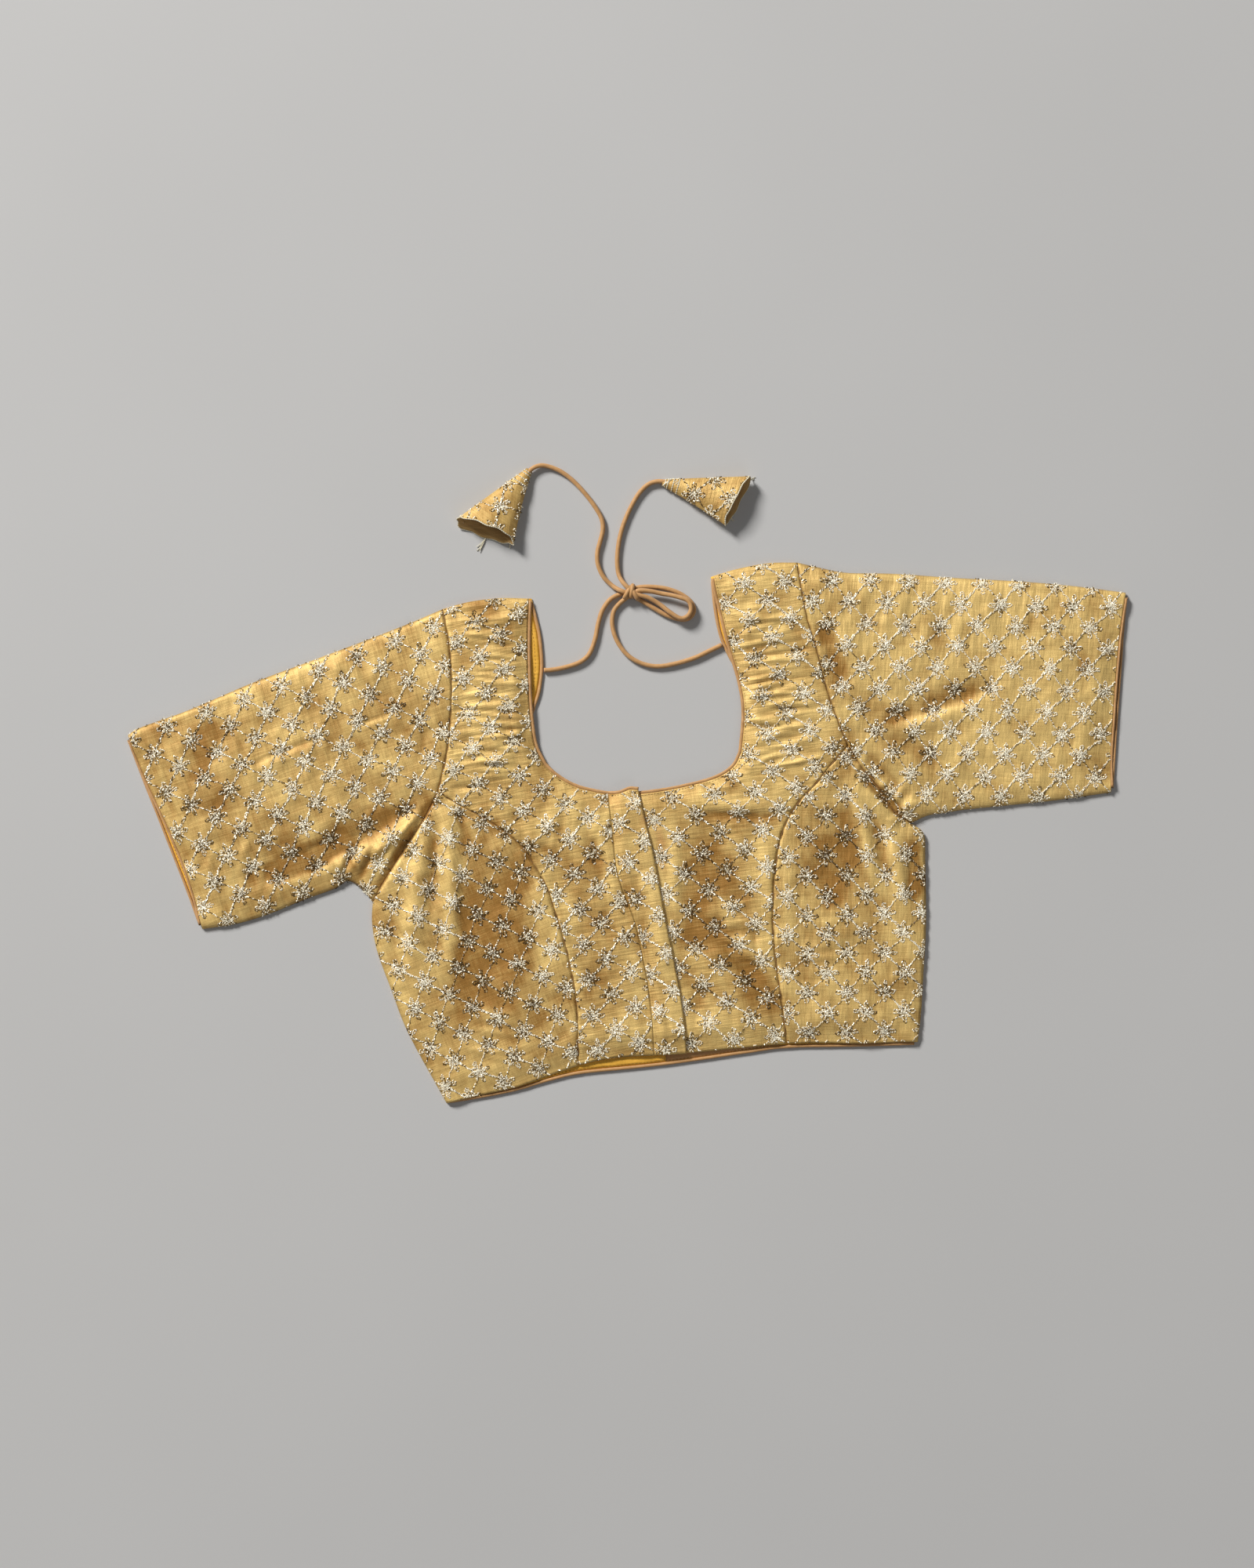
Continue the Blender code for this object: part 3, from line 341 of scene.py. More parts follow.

# Painted shade where the depth is positive and painted light where it is negative, making the cloth browner
# or more golden: soft ovals
Shade = namedtuple("Shade", "x y along across turn depth")
SHADES = [Shade(*row) for row in (
    (-100, -62, 28, 74, -8, 0.50), (-82, -112, 18, 46, 0, 0.28), (-151, -24, 5, 34, -2, 0.26),
    (-190, -62, 7, 22, 0, 0.22), (-28, -60, 18, 50, 12, 0.40), (-62, -14, 14, 5, -30, 0.26),
    (65, -36, 33, 26, 0, 0.24), (80, -98, 50, 14, -48, 0.50), (101, -126, 15, 20, 0, 0.32),
    (84, 10, 38, 5, -2, 0.24), (163, -30, 19, 50, 0, 0.24), (219, -26, 6, 34, 0, 0.40),
    (241, 101, 52, 9, 20, 0.17), (220, 56, 24, 12, -32, 0.26), (197, 27, 20, 5, -44, 0.65),
    (157, 142, 30, 7, -65, 0.20), (319, 160, 16, 12, 0, 0.22), (350, 122, 6, 22, 10, 0.20),
    (-217, -6, 74, 10, 25, 0.54), (-203, -26, 24, 9, 55, 0.42), (-179, -22, 24, 3.2, 57, 0.60),
    (-268, -46, 30, 8, 25, 0.26), (-258, 61, 30, 3, 20, 0.22), (-101, 168, 12, 8, 0, 0.28),
    (-100, 144, 10, 10, 0, 0.22), (-320, 30, 18, 12, 20, 0.14), (-246, 88, 16, 10, 20, 0.16),
    (-170, 112, 12, 20, 20, 0.12), (4, -60, 4, 80, 12, 0.22), (28, -72, 6, 84, 10, -0.26),
    (36, -30, 5, 38, 0, -0.22), (106, -10, 6, 26, 0, -0.28), (123, -54, 5, 34, 0, -0.26),
    (186, -14, 5, 34, 12, -0.30), (207, -24, 5, 34, 10, -0.30), (-135, -44, 4, 58, -2, -0.26),
    (-188, -2, 32, 4, 37, -0.10), (-46, -54, 5, 26, 14, -0.20), (-240, 100, 60, 14, 22, -0.12),
    (60, -136, 26, 12, -20, -0.20), (0, -152, 44, 12, 4, -0.14), (-30, 12, 30, 10, -10, -0.14),
    (290, 115, 115, 95, 0, -0.28), (-262, 62, 120, 80, 20, 0.10), (118, 130, 34, 60, 0, -0.08),
    (66, -88, 30, 8, -30, 0.22),
)]

# The reddish stain beside the placket
STAINS = [Shade(*row) for row in (
    (13, 9, 3, 7, 10, 0.30), (25, -2, 3.5, 9, 12, 0.45), (27, -22, 2.5, 8, 8, 0.22),
)]


def smooth_line(points, density=24):
    """A dense line through the points: a Catmull-Rom spline, with its ends run on straight."""
    p = np.array(points, float)
    p = np.vstack([2 * p[0] - p[1], p, 2 * p[-1] - p[-2]])
    t = np.linspace(0, 1, density, endpoint=False)[:, None]
    spans = [
        0.5 * (2 * b + (c - a) * t + (2 * a - 5 * b + 4 * c - d) * t**2 + (3 * b - a - 3 * c + d) * t**3)
        for a, b, c, d in zip(p, p[1:], p[2:], p[3:])
    ]
    return np.vstack([*spans, p[-2:-1]])


def length_of(line):
    return np.linalg.norm(np.diff(line, axis=0), axis=1).sum()


def unit(vectors):
    return vectors / np.maximum(np.linalg.norm(vectors, axis=1), 1e-9)[:, None]


def along(line, count):
    """count + 1 points spaced evenly along a line."""
    steps = np.linalg.norm(np.diff(line, axis=0), axis=1)
    travelled = np.concatenate([[0], np.cumsum(steps)])
    wanted = np.linspace(0, travelled[-1], count + 1)
    return np.stack([np.interp(wanted, travelled, line[:, k]) for k in range(line.shape[1])], axis=1)


def edge(name, count):
    return along(smooth_line(EDGES[name]), count)


def joined(*lines):
    """Lines end to end, with each shared point kept once."""
    return np.vstack([lines[0], *(line[1:] for line in lines[1:])])


def moved_left(line, distance):
    """The line moved sideways, to the left of its direction of travel."""
    ahead = unit(np.gradient(line[:, :2], axis=0))
    return line[:, :2] + distance * np.stack([-ahead[:, 1], ahead[:, 0]], axis=1)


def drawn_to(line, start=None, end=None):
    """The line with its ends moved to the places given, and the points between moved in proportion."""
    share = np.linspace(0, 1, len(line))[:, None]
    at_start = 0 if start is None else start - line[0]
    at_end = 0 if end is None else end - line[-1]
    return line + (1 - share) * at_start + share * at_end


def within(line, axis, low, high=np.inf):
    """The stretch of a line between two places on one axis."""
    return line[(line[:, axis] > low) & (line[:, axis] < high)]


def patch(left, right, top, bottom):
    """A Coons patch: the (rows, columns) points of the cloth between four edges."""
    u = np.linspace(0, 1, len(top))[None, :, None]
    v = np.linspace(0, 1, len(left))[:, None, None]
    corners = (
        (1 - u) * (1 - v) * top[0] + u * (1 - v) * top[-1] + (1 - u) * v * bottom[0] + u * v * bottom[-1]
    )
    sides = (1 - u) * left[:, None] + u * right[:, None]
    ends = (1 - v) * top[None] + v * bottom[None]
    return sides + ends - corners


def inset(grid, distance):
    """The patch with its border drawn in, to leave room for the seam."""
    grid = grid.copy()
    for border, inner in ((0, 1), (-1, -2)):
        for view in (grid, grid.transpose(1, 0, 2)):
            view[border] += distance * unit(view[inner] - view[border])
    return grid


def ease(x):
    x = np.clip(x, 0, 1)
    return x * x * (3 - 2 * x)


def rounded(far, reach):
    """From 0 at a fold to 1 at a reach from it, along a quarter circle."""
    return np.sqrt(1 - (1 - np.clip(far / reach, 0, 1)) ** 2)


def distance_to(plan, names):
    """How far points of the plan are from the nearest of some seams."""
    flat = plan.reshape(-1, 2)
    nearest = np.full(len(flat), np.inf)
    for x, y in np.vstack([edge(name, 100) for name in names]):
        np.minimum(nearest, (flat[:, 0] - x) ** 2 + (flat[:, 1] - y) ** 2, out=nearest)
    return np.sqrt(nearest).reshape(plan.shape[:-1])


def ripple(plan, cell, seed):
    """Smooth noise from -1 to 1, with features about a cell across."""
    values = np.random.default_rng(seed).uniform(-1, 1, (97, 97))
    place = plan / cell + 48
    low = np.floor(place).astype(int) % 96
    share = ease(place - np.floor(place))
    x, y = low[..., 0], low[..., 1]
    u, v = share[..., 0], share[..., 1]
    near = values[x, y] * (1 - u) + values[x + 1, y] * u
    far = values[x, y + 1] * (1 - u) + values[x + 1, y + 1] * u
    return near * (1 - v) + far * v


def ridge(plan, c):
    """The height of one crease at points of the plan. It fades towards both its ends."""
    start, end = np.array([c.x0, c.y0]), np.array([c.x1, c.y1])
    length = np.linalg.norm(end - start)
    ahead = (end - start) / length
    away = plan - start
    share = (away @ ahead) / length
    sideways = away @ np.array([-ahead[1], ahead[0]]) - c.bow * 4 * share * (1 - share)
    fade = np.where((share > 0) & (share < 1), np.sin(np.pi * np.clip(share, 0, 1)) ** 0.7, 0)
    half_width = np.where(sideways > 0, c.half_width, c.half_width * c.lean)
    return c.height * fade * np.exp(-0.5 * (sideways / half_width) ** 2)


def puckers(g):
    """The creases of one gather, each a little different."""
    chance = np.random.default_rng(g.seed)
    start, end = np.array([g.x0, g.y0]), np.array([g.x1, g.y1])
    length = np.linalg.norm(end - start)
    ahead = (end - start) / length
    across = np.array([-ahead[1], ahead[0]])
    made = []
    travelled = 0.0
    while travelled < length:
        middle = start + travelled * ahead + chance.uniform(-0.35, 0.35) * g.reach * across
        half = g.reach * chance.uniform(0.45, 1.0) * across + chance.uniform(-2.5, 2.5) * ahead
        low, high = middle - half, middle + half
        size = chance.uniform(0.5, 1.25)
        bow, breadth = chance.uniform(-2, 2), chance.uniform(0.8, 1.3)
        made.append(Crease(*low, *high, bow, g.half_width * breadth, g.height * size))
        travelled += g.spacing * chance.uniform(0.65, 1.4)
    return made


ALL_CREASES = CREASES + [crease for gather in GATHERS for crease in puckers(gather)]


def creasing(plan):
    """How far creases, puckers and the cloth's own unevenness lift it or let it sink."""
    relief = sum(ridge(plan, crease) for crease in ALL_CREASES)
    relief = relief + sum(height * ripple(plan, cell, seed) for height, cell, seed in UNEVENNESS)
    seam = distance_to(plan, SEAMS)
    return relief + SEAM_PUCKER * np.exp(-seam / SEAM_PUCKER_REACH) * ripple(plan, SEAM_PUCKER_CELL, 4)


def upper_height(plan, fold=BODY_FOLD):
    """How high the upper layer's outer face lies at points of the plan."""
    far = distance_to(plan, CLOSED)
    seam = distance_to(plan, SEAMS)
    hem = 1 - ease(distance_to(plan, HEMS) / HEM_REACH)
    neck = 1 - ease(distance_to(plan, NECKS) / NECK_REACH)
    lying = np.maximum(hem, neck) * ease(far / HEM_REACH)
    lift = EDGE_RISE * ease(far / EDGE_REACH) + BODY_RISE * ease(far / BODY_REACH)
    lift = lift * (1 - HEM_FLATTENING * lying)
    height = FOLD_HEIGHT + np.maximum(lift + creasing(plan) * ease(far / CREASE_REACH), LEAST_LIFT * lift)
    height -= SEAM_DEPTH * np.exp(-((seam / SEAM_WIDTH) ** 2))
    height -= HEM_DROP * lying
    return fold + (height - fold) * rounded(far, ROUND_REACH)


def ovals(plan, table, power):
    """The sum of some soft ovals at points of the plan. A high, even power makes them flat in the middle."""
    total = np.zeros(plan.shape[:-1])
    for oval in table:
        x, y = np.moveaxis(turned(plan - np.array([oval.x, oval.y]), oval.turn), -1, 0)
        total += oval.depth * np.exp(-((x / oval.along) ** power + (y / oval.across) ** power))
    return total


def gold_and_painted_shade(plan):
    """How much of the gold weft shows at points of the plan, from 0 to 1, with painted highlights and painted
    shade laid into it.
    """
    relief = creasing(plan)
    gold = GOLD_LEVEL + sum(depth * ripple(plan, cell, seed) for depth, cell, seed in PATCHES)
    # Painted highlights on the ridges and painted shade in the troughs
    gold += RIDGE_SHINE * np.tanh(0.9 * relief) - TROUGH_SHADE * np.clip(-relief - TROUGH_START, 0, 1)
    # Painted shade and painted light in soft ovals, and painted shade along the seams
    gold -= ovals(plan, SHADES, 4) + SEAM_SHADE * np.exp(-(distance_to(plan, SEAMS) ** 2))
    return np.clip(gold, 0, 1)


def rust(plan):
    """How strongly the reddish stain by the placket shows at points of the plan."""
    return np.clip(ovals(plan, STAINS, 2) * (1 + 0.5 * ripple(plan, 4, 9)), 0, 1)


def raised(plan, height):
    return np.concatenate([plan, np.broadcast_to(height, plan.shape[:-1])[..., None]], axis=-1)


def turned(plan, degrees):
    """The plan as the cloth's own coordinates, whose first axis runs along the weft."""
    angle = math.radians(degrees)
    c, s = math.cos(angle), math.sin(angle)
    return np.stack([c * plan[..., 0] + s * plan[..., 1], -s * plan[..., 0] + c * plan[..., 1]], axis=-1)


def add_object(name, mesh, *finishes):
    for finish in finishes:
        mesh.materials.append(finish)
    obj = bpy.data.objects.new(name, mesh)
    bpy.context.scene.collection.objects.link(obj)
    return obj


def weft_direction(name):
    """The direction of a piece's weft, midway between the sides of its lattice."""
    return (LATTICES[name].rise + LATTICES[name].fall) / 2


def give_tone(mesh, tone, label="gold"):
    """Keeps how gold the cloth is, with its painted shade and highlights, or how stained, at each of the
    mesh's points.
    """
    kept = mesh.attributes.new(label, "FLOAT", "POINT").data
    kept.foreach_set("value", np.ravel(tone).astype(np.float32))


def corners_of(index, facing_up):
    """The corners of each quad of a grid of indices."""
    corners = (index[:-1, :-1], index[1:, :-1], index[1:, 1:], index[:-1, 1:])
    quads = np.stack(corners, axis=-1).reshape(-1, 4)
    return quads if facing_up else quads[:, ::-1]


def sheet_mesh(name, grid, cloth_coordinates, facing_up=True, tube=False):
    """A smooth mesh of a (rows, columns, 3) grid, with its UV map in metres of cloth."""
    rows, columns = grid.shape[:2]
    wide = columns - 1 if tube else columns
    index = np.arange(rows * wide).reshape(rows, wide)
    if tube:
        index = np.concatenate([index, index[:, :1]], axis=1)
    mesh = bpy.data.meshes.new(name)
    points = grid[:, :wide].reshape(-1, 3) * MM
    mesh.from_pydata(points.tolist(), [], corners_of(index, facing_up).tolist())
    corners = corners_of(np.arange(rows * columns).reshape(rows, columns), facing_up)
    uv = mesh.uv_layers.new(name="Cloth")
    uv.data.foreach_set("uv", (cloth_coordinates.reshape(-1, 2)[corners.ravel()] * MM).ravel())
    mesh.shade_smooth()
    return mesh


def thicken(obj, thickness):
    """Gives a sheet its thickness, on the side away from its faces, with its second material there."""
    solidify = obj.modifiers.new("thickness", "SOLIDIFY")
    solidify.thickness = thickness * MM
    solidify.offset = -1
    solidify.material_offset = 1
    solidify.use_even_offset = False


def settle(obj, nodes=()):
    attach(obj, "root")
    if nodes:
        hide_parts(*nodes)


# Node trees, and the finishes made with them
def node(tree, kind, links=None, **properties):
    """A node with its properties set, and each input either linked or given its value."""
    made = tree.nodes.new(kind)
    for key, value in properties.items():
        setattr(made, key, value)
    for socket, source in (links or {}).items():
        if isinstance(source, bpy.types.NodeSocket):
            tree.links.new(source, made.inputs[socket])
        else:
            made.inputs[socket].default_value = source
    return made


def math_node(tree, operation, a, b=0.0):
    return node(tree, "ShaderNodeMath", {0: a, 1: b}, operation=operation).outputs[0]


def times(tree, a, b):
    return math_node(tree, "MULTIPLY", a, b)


def plus(tree, a, b):
    return math_node(tree, "ADD", a, b)


def minus(tree, a, b):
    return math_node(tree, "SUBTRACT", a, b)


def vector_math(tree, operation, a, b=(0, 0, 0)):
    return node(tree, "ShaderNodeVectorMath", {0: a, 1: b}, operation=operation).outputs[0]


def scaled(tree, vector, factor):
    links = {"Vector": vector, "Scale": factor}
    return node(tree, "ShaderNodeVectorMath", links, operation="SCALE").outputs[0]


def split_xyz(tree, vector):
    return node(tree, "ShaderNodeSeparateXYZ", {0: vector}).outputs


def vector_of(tree, x=0.0, y=0.0, z=0.0):
    return node(tree, "ShaderNodeCombineXYZ", {0: x, 1: y, 2: z}).outputs[0]


def noise(tree, place, scale, detail=2.0):
    return node(tree, "ShaderNodeTexNoise", {"Vector": place, "Scale": scale, "Detail": detail}).outputs[0]


def object_place(tree):
    return node(tree, "ShaderNodeTexCoord").outputs["Object"]


def cloth_place(tree):
    return node(tree, "ShaderNodeUVMap", uv_map="Cloth").outputs[0]


def reading(tree, label):
    """What a mesh keeps under a label."""
    return node(tree, "ShaderNodeAttribute", attribute_name=label).outputs["Fac"]


def blend(tree, share, first, second):
    """The colour between two, each an RGB value or a socket."""
    ends = [end if isinstance(end, bpy.types.NodeSocket) else (*end, 1) for end in (first, second)]
    return node(tree, "ShaderNodeMix", {0: share, 6: ends[0], 7: ends[1]}, data_type="RGBA").outputs[2]


def bumped(tree, height, strength, distance, below=None):
    """The normal that a height gives, on top of the relief below it, if any."""
    links = {"Strength": strength, "Distance": distance, "Height": height, **(below or {})}
    return node(tree, "ShaderNodeBump", links).outputs[0]


def new_group(name, kind, inputs, outputs):
    tree = bpy.data.node_groups.new(name, kind)
    for label, socket, value in inputs:
        made = tree.interface.new_socket(label, in_out="INPUT", socket_type="NodeSocket" + socket)
        if value is not None:
            made.default_value = value
    for label, socket in outputs:
        tree.interface.new_socket(label, in_out="OUTPUT", socket_type="NodeSocket" + socket)
    return tree, tree.nodes.new("NodeGroupInput").outputs, tree.nodes.new("NodeGroupOutput").inputs


def slub_weave():
    """Plain weave with slubs: its height, how much thread shows, a slow drift of it, and fine creases."""
    tree, given, out = new_group(
        "slub_weave",
        "ShaderNodeTree",
        [
            ("Cloth", "Vector", None),
            ("Threads per metre", "Float", 1800.0),
            ("Across", "Float", 0.35),
        ],
        [(label, "Float") for label in ("Height", "Slub", "Drift", "Crinkle")],
    )

    def crossed(stretches, share):
        """Two noises, each drawn out along the warp or the weft, mixed."""
        places = (vector_math(tree, "MULTIPLY", given["Cloth"], stretch) for stretch in stretches)
        first, second = (noise(tree, place, 1.0) for place in places)
        return node(tree, "ShaderNodeMix", {0: share, 2: first, 3: second}, data_type="FLOAT").outputs[0]

    x, y, _ = split_xyz(tree, given["Cloth"])
    turns = times(tree, given["Threads per metre"], math.pi)
    warp, weft = (math_node(tree, "SINE", times(tree, way, turns)) for way in (x, y))
    plain = times(tree, warp, weft)
    slub = crossed(SLUB_STRETCHES, 0.4)
    tree.links.new(plus(tree, times(tree, plain, 0.25), slub), out["Height"])
    tree.links.new(slub, out["Slub"])
    tree.links.new(noise(tree, given["Cloth"], DRIFT_SCALE, 5.0), out["Drift"])
    tree.links.new(crossed(CRINKLE_STRETCHES, given["Across"]), out["Crinkle"])
    return tree


def finish_of(name, roughness, metallic):
    made = bpy.data.materials.new(name)
    made.use_nodes = True
    shader = made.node_tree.nodes["Principled BSDF"]
    shader.inputs["Roughness"].default_value = roughness
    shader.inputs["Metallic"].default_value = metallic
    shader.inputs["Specular IOR Level"].default_value = 0.3
    return made, made.node_tree, shader


def woven(name, dark, light, roughness, metallic, bump, threads, sheen=0.0, gold=False, across=0.35):
    """A woven cloth, whose colour runs from dark to light with its slubs and, on tissue, with its gold and
    the shade and highlights painted into it.
    """
    made, tree, shader = finish_of(name, roughness, metallic)
    facts = {"Cloth": cloth_place(tree), "Threads per metre": threads, "Across": across}
    weave = node(tree, "ShaderNodeGroup", facts, node_tree=weave_group).outputs
    # On tissue the tone starts from the kept gold, which holds painted shade and painted highlights
    tone = reading(tree, "gold") if gold else PLAIN_LEVEL
    for part, weight in TONE_WEIGHTS.items():
        tone = plus(tree, times(tree, weave[part], weight), tone)
    tone = minus(tree, tone, TONE_BALANCE)
    stained = blend(tree, reading(tree, "rust"), blend(tree, tone, dark, light), STAIN_COLOUR)
    tree.links.new(stained, shader.inputs["Base Color"])
    relief = bumped(tree, weave["Crinkle"], FOLD_BUMP, FOLD_DISTANCE)
    relief = bumped(tree, weave["Height"], bump, THREAD_DISTANCE, {"Normal": relief})
    tree.links.new(relief, shader.inputs["Normal"])
    rough = plus(tree, times(tree, weave["Slub"], SLUB_ROUGHNESS), roughness - SLUB_ROUGHNESS / 2)
    tree.links.new(rough, shader.inputs["Roughness"])
    shader.inputs["Sheen Weight"].default_value = sheen
    shader.inputs["Sheen Roughness"].default_value = 0.4
    return made


def zari_thread():
    """Metal-wrapped thread. Each stitch has its own tone, from dark to bright: the dark ones stand for
    tarnish and also for painted shadow between the thread's loops.
    """
    made, tree, shader = finish_of("zari", 0.32, 0.15)
    ramp = node(tree, "ShaderNodeValToRGB", {0: reading(tree, "glint")})
    stops = ramp.color_ramp.elements
    stops[0].color = (0.09, 0.05, 0.015, 1)
    stops[1].color = (1.0, 0.925, 0.73, 1)
    stops[1].position = 0.42
    stops.new(0.24).color = (0.34, 0.24, 0.10, 1)
    tree.links.new(ramp.outputs[0], shader.inputs["Base Color"])
    return made


def satin(name, dark, light):
    """Satin on the bias, with fine diagonal ribs and soft wear."""
    made, tree, shader = finish_of(name, 0.5, 0.0)
    cloth = cloth_place(tree)
    x, y, _ = split_xyz(tree, cloth)
    slant = times(tree, plus(tree, x, y), 2 * math.pi / RIB)
    rib = math_node(tree, "SINE", slant)
    patchy = noise(tree, cloth, WEAR_SCALE, 4.0)
    tree.links.new(blend(tree, patchy, dark, light), shader.inputs["Base Color"])
    height = plus(tree, times(tree, rib, 0.2), patchy)
    tree.links.new(bumped(tree, height, 0.5, THREAD_DISTANCE), shader.inputs["Normal"])
    shader.inputs["Sheen Weight"].default_value = 0.25
    return made


def sewing_thread(name, colour):
    made, tree, shader = finish_of(name, 0.6, 0.0)
    dark = tuple(0.6 * channel for channel in colour)
    tone = noise(tree, object_place(tree), 400.0)
    tree.links.new(blend(tree, tone, dark, colour), shader.inputs["Base Color"])
    return made


def floor_finish():
    made, tree, shader = finish_of("pale_floor", 0.85, 0.0)
    tone = noise(tree, object_place(tree), 3.0)
    tree.links.new(blend(tree, tone, (0.50, 0.49, 0.475), (0.54, 0.53, 0.515)), shader.inputs["Base Color"])
    return made


# The trees that sew: a field of flowers on a sheet, and a row of stitches along a line
def chance_vector(tree, low, high, seed):
    links = {0: low, 1: high, "Seed": seed}
    return node(tree, "FunctionNodeRandomValue", links, data_type="FLOAT_VECTOR").outputs[0]


def curve_line(tree, start, end):
    return node(tree, "GeometryNodeCurvePrimitiveLine", {"Start": start, "End": end}).outputs[0]


def gathered(tree, parts):
    """Some geometries as one."""
    join = node(tree, "GeometryNodeJoinGeometry")
    for part in parts:
        tree.links.new(part, join.inputs[0])
    return join.outputs[0]


def moved_points(tree, geometry, **place):
    return node(tree, "GeometryNodeSetPosition", {"Geometry": geometry, **place}).outputs[0]


def copies(tree, points, instance, rotation, scale):
    links = {"Points": points, "Instance": instance, "Rotation": rotation, "Scale": scale}
    return node(tree, "GeometryNodeInstanceOnPoints", links).outputs[0]


def points_along(tree, curve, pitch):
    return node(tree, "GeometryNodeCurveToPoints", {"Curve": curve, "Length": pitch}, mode="LENGTH").outputs


def aligned(tree, axis, vector, start=(0, 0, 0), pivot="AUTO"):
    """A rotation, turned from where it starts so that one of its axes points along a vector."""
    links = {"Rotation": start, "Vector": vector}
    return node(tree, "FunctionNodeAlignRotationToVector", links, axis=axis, pivot_axis=pivot).outputs[0]


def stored(tree, geometry, label, value, domain):
    links = {"Geometry": geometry, "Name": label, "Value": value}
    return node(tree, "GeometryNodeStoreNamedAttribute", links, data_type="FLOAT", domain=domain).outputs[0]


def named_value(tree, label):
    return node(tree, "GeometryNodeInputNamedAttribute", {"Name": label}, data_type="FLOAT").outputs[0]


def bead(tree, segments, rings):
    """A ball with its poles on the X axis, which scaling makes a stitch."""
    fineness = {"Segments": segments, "Rings": rings, "Radius": 1.0}
    ball = node(tree, "GeometryNodeMeshUVSphere", fineness).outputs[0]
    place = {"Geometry": ball, "Rotation": (0, math.pi / 2, 0)}
    return node(tree, "GeometryNodeTransform", place).outputs[0]


def flower_motif(tree, given):
    """One flower's curves: eight petals, long and short in turn, and the lines to the next flowers."""
    length = given["Petal length"]

    def outwards(share):
        return times(tree, length, share)

    spread = times(tree, given["Petal half width"], LOOP_SPREAD)
    start = vector_of(tree, outwards(PETAL_START))
    reach = outwards(LOOP_REACH)
    out, back = (vector_of(tree, reach, times(tree, spread, way)) for way in (1, -1))
    petal = node(
        tree,
        "GeometryNodeCurvePrimitiveBezierSegment",
        {"Resolution": 16, "Start": start, "Start Handle": out, "End Handle": back, "End": start},
        mode="POSITION",
    ).outputs[0]
    core = curve_line(tree, *(vector_of(tree, outwards(share)) for share in CORE))
    index = node(tree, "GeometryNodeInputIndex").outputs[0]
    angle = plus(tree, times(tree, index, math.pi / 4), given["Turn"])
    shortening = minus(tree, 1.0, given["Short petal"])
    odd = math_node(tree, "MODULO", index, 2.0)
    size = minus(tree, 1.0, times(tree, odd, shortening))
    hub = node(tree, "GeometryNodeMeshLine", {"Count": 8, "Offset": (0, 0, 0)}).outputs[0]
    filled = gathered(tree, (petal, core))
    parts = [copies(tree, hub, filled, vector_of(tree, z=angle), vector_of(tree, size, size, size))]
    for side, offset, low in LINES_OF_STITCHES:
        ends = (scaled(tree, given[side], share) for share in (low, 1 - low))
        parts.append(curve_line(tree, *(vector_math(tree, "ADD", end, (offset, 0, 0)) for end in ends)))
    return gathered(tree, parts)


def flower_places(tree, given):
    """The lattice's points, each strayed a little."""
    count = given["Flowers a side"]
    steps = minus(tree, count, 1.0)
    sizes = {"Size X": steps, "Size Y": steps, "Vertices X": count, "Vertices Y": count}
    grid = node(tree, "GeometryNodeMeshGrid", sizes).outputs[0]
    x, y, _ = split_xyz(tree, node(tree, "GeometryNodeInputPosition").outputs[0])
    risen, fallen = scaled(tree, given["Rising side"], x), scaled(tree, given["Falling side"], y)
    spot = vector_math(tree, "ADD", vector_math(tree, "ADD", risen, fallen), given["Origin"])
    facts = {"Vector": spot, "Scale": WANDER_SCALE, "Detail": 1.0}
    wander = node(tree, "ShaderNodeTexNoise", facts).outputs["Color"]
    wander = scaled(tree, vector_math(tree, "SUBTRACT", wander, (0.5, 0.5, 0.5)), WANDER)
    return moved_points(tree, grid, Position=vector_math(tree, "ADD", spot, wander))


def landing(tree, given):
    """Where stitches land on the sheet, which of them miss it or meet its far side, and the sheet's gold
    there with its painted shade.
    """
    above = vector_of(tree, z=times(tree, given["Side"], DROP))
    towards = vector_of(tree, z=times(tree, given["Side"], -1.0))
    place = node(tree, "GeometryNodeInputPosition").outputs[0]
    ray = {
        "Target Geometry": given["Sheet"],
        "Attribute": named_value(tree, "gold"),
        "Source Position": vector_math(tree, "ADD", place, above),
        "Ray Direction": towards,
        "Ray Length": 0.1,
    }
    hit = node(tree, "GeometryNodeRaycast", ray).outputs
    slope = node(tree, "ShaderNodeVectorMath", {0: hit["Hit Normal"], 1: towards}, operation="DOT_PRODUCT")
    faces_away = math_node(tree, "GREATER_THAN", slope.outputs["Value"], STEEPEST)
    missed = minus(tree, 1.0, hit["Is Hit"])
    return hit, plus(tree, faces_away, missed)


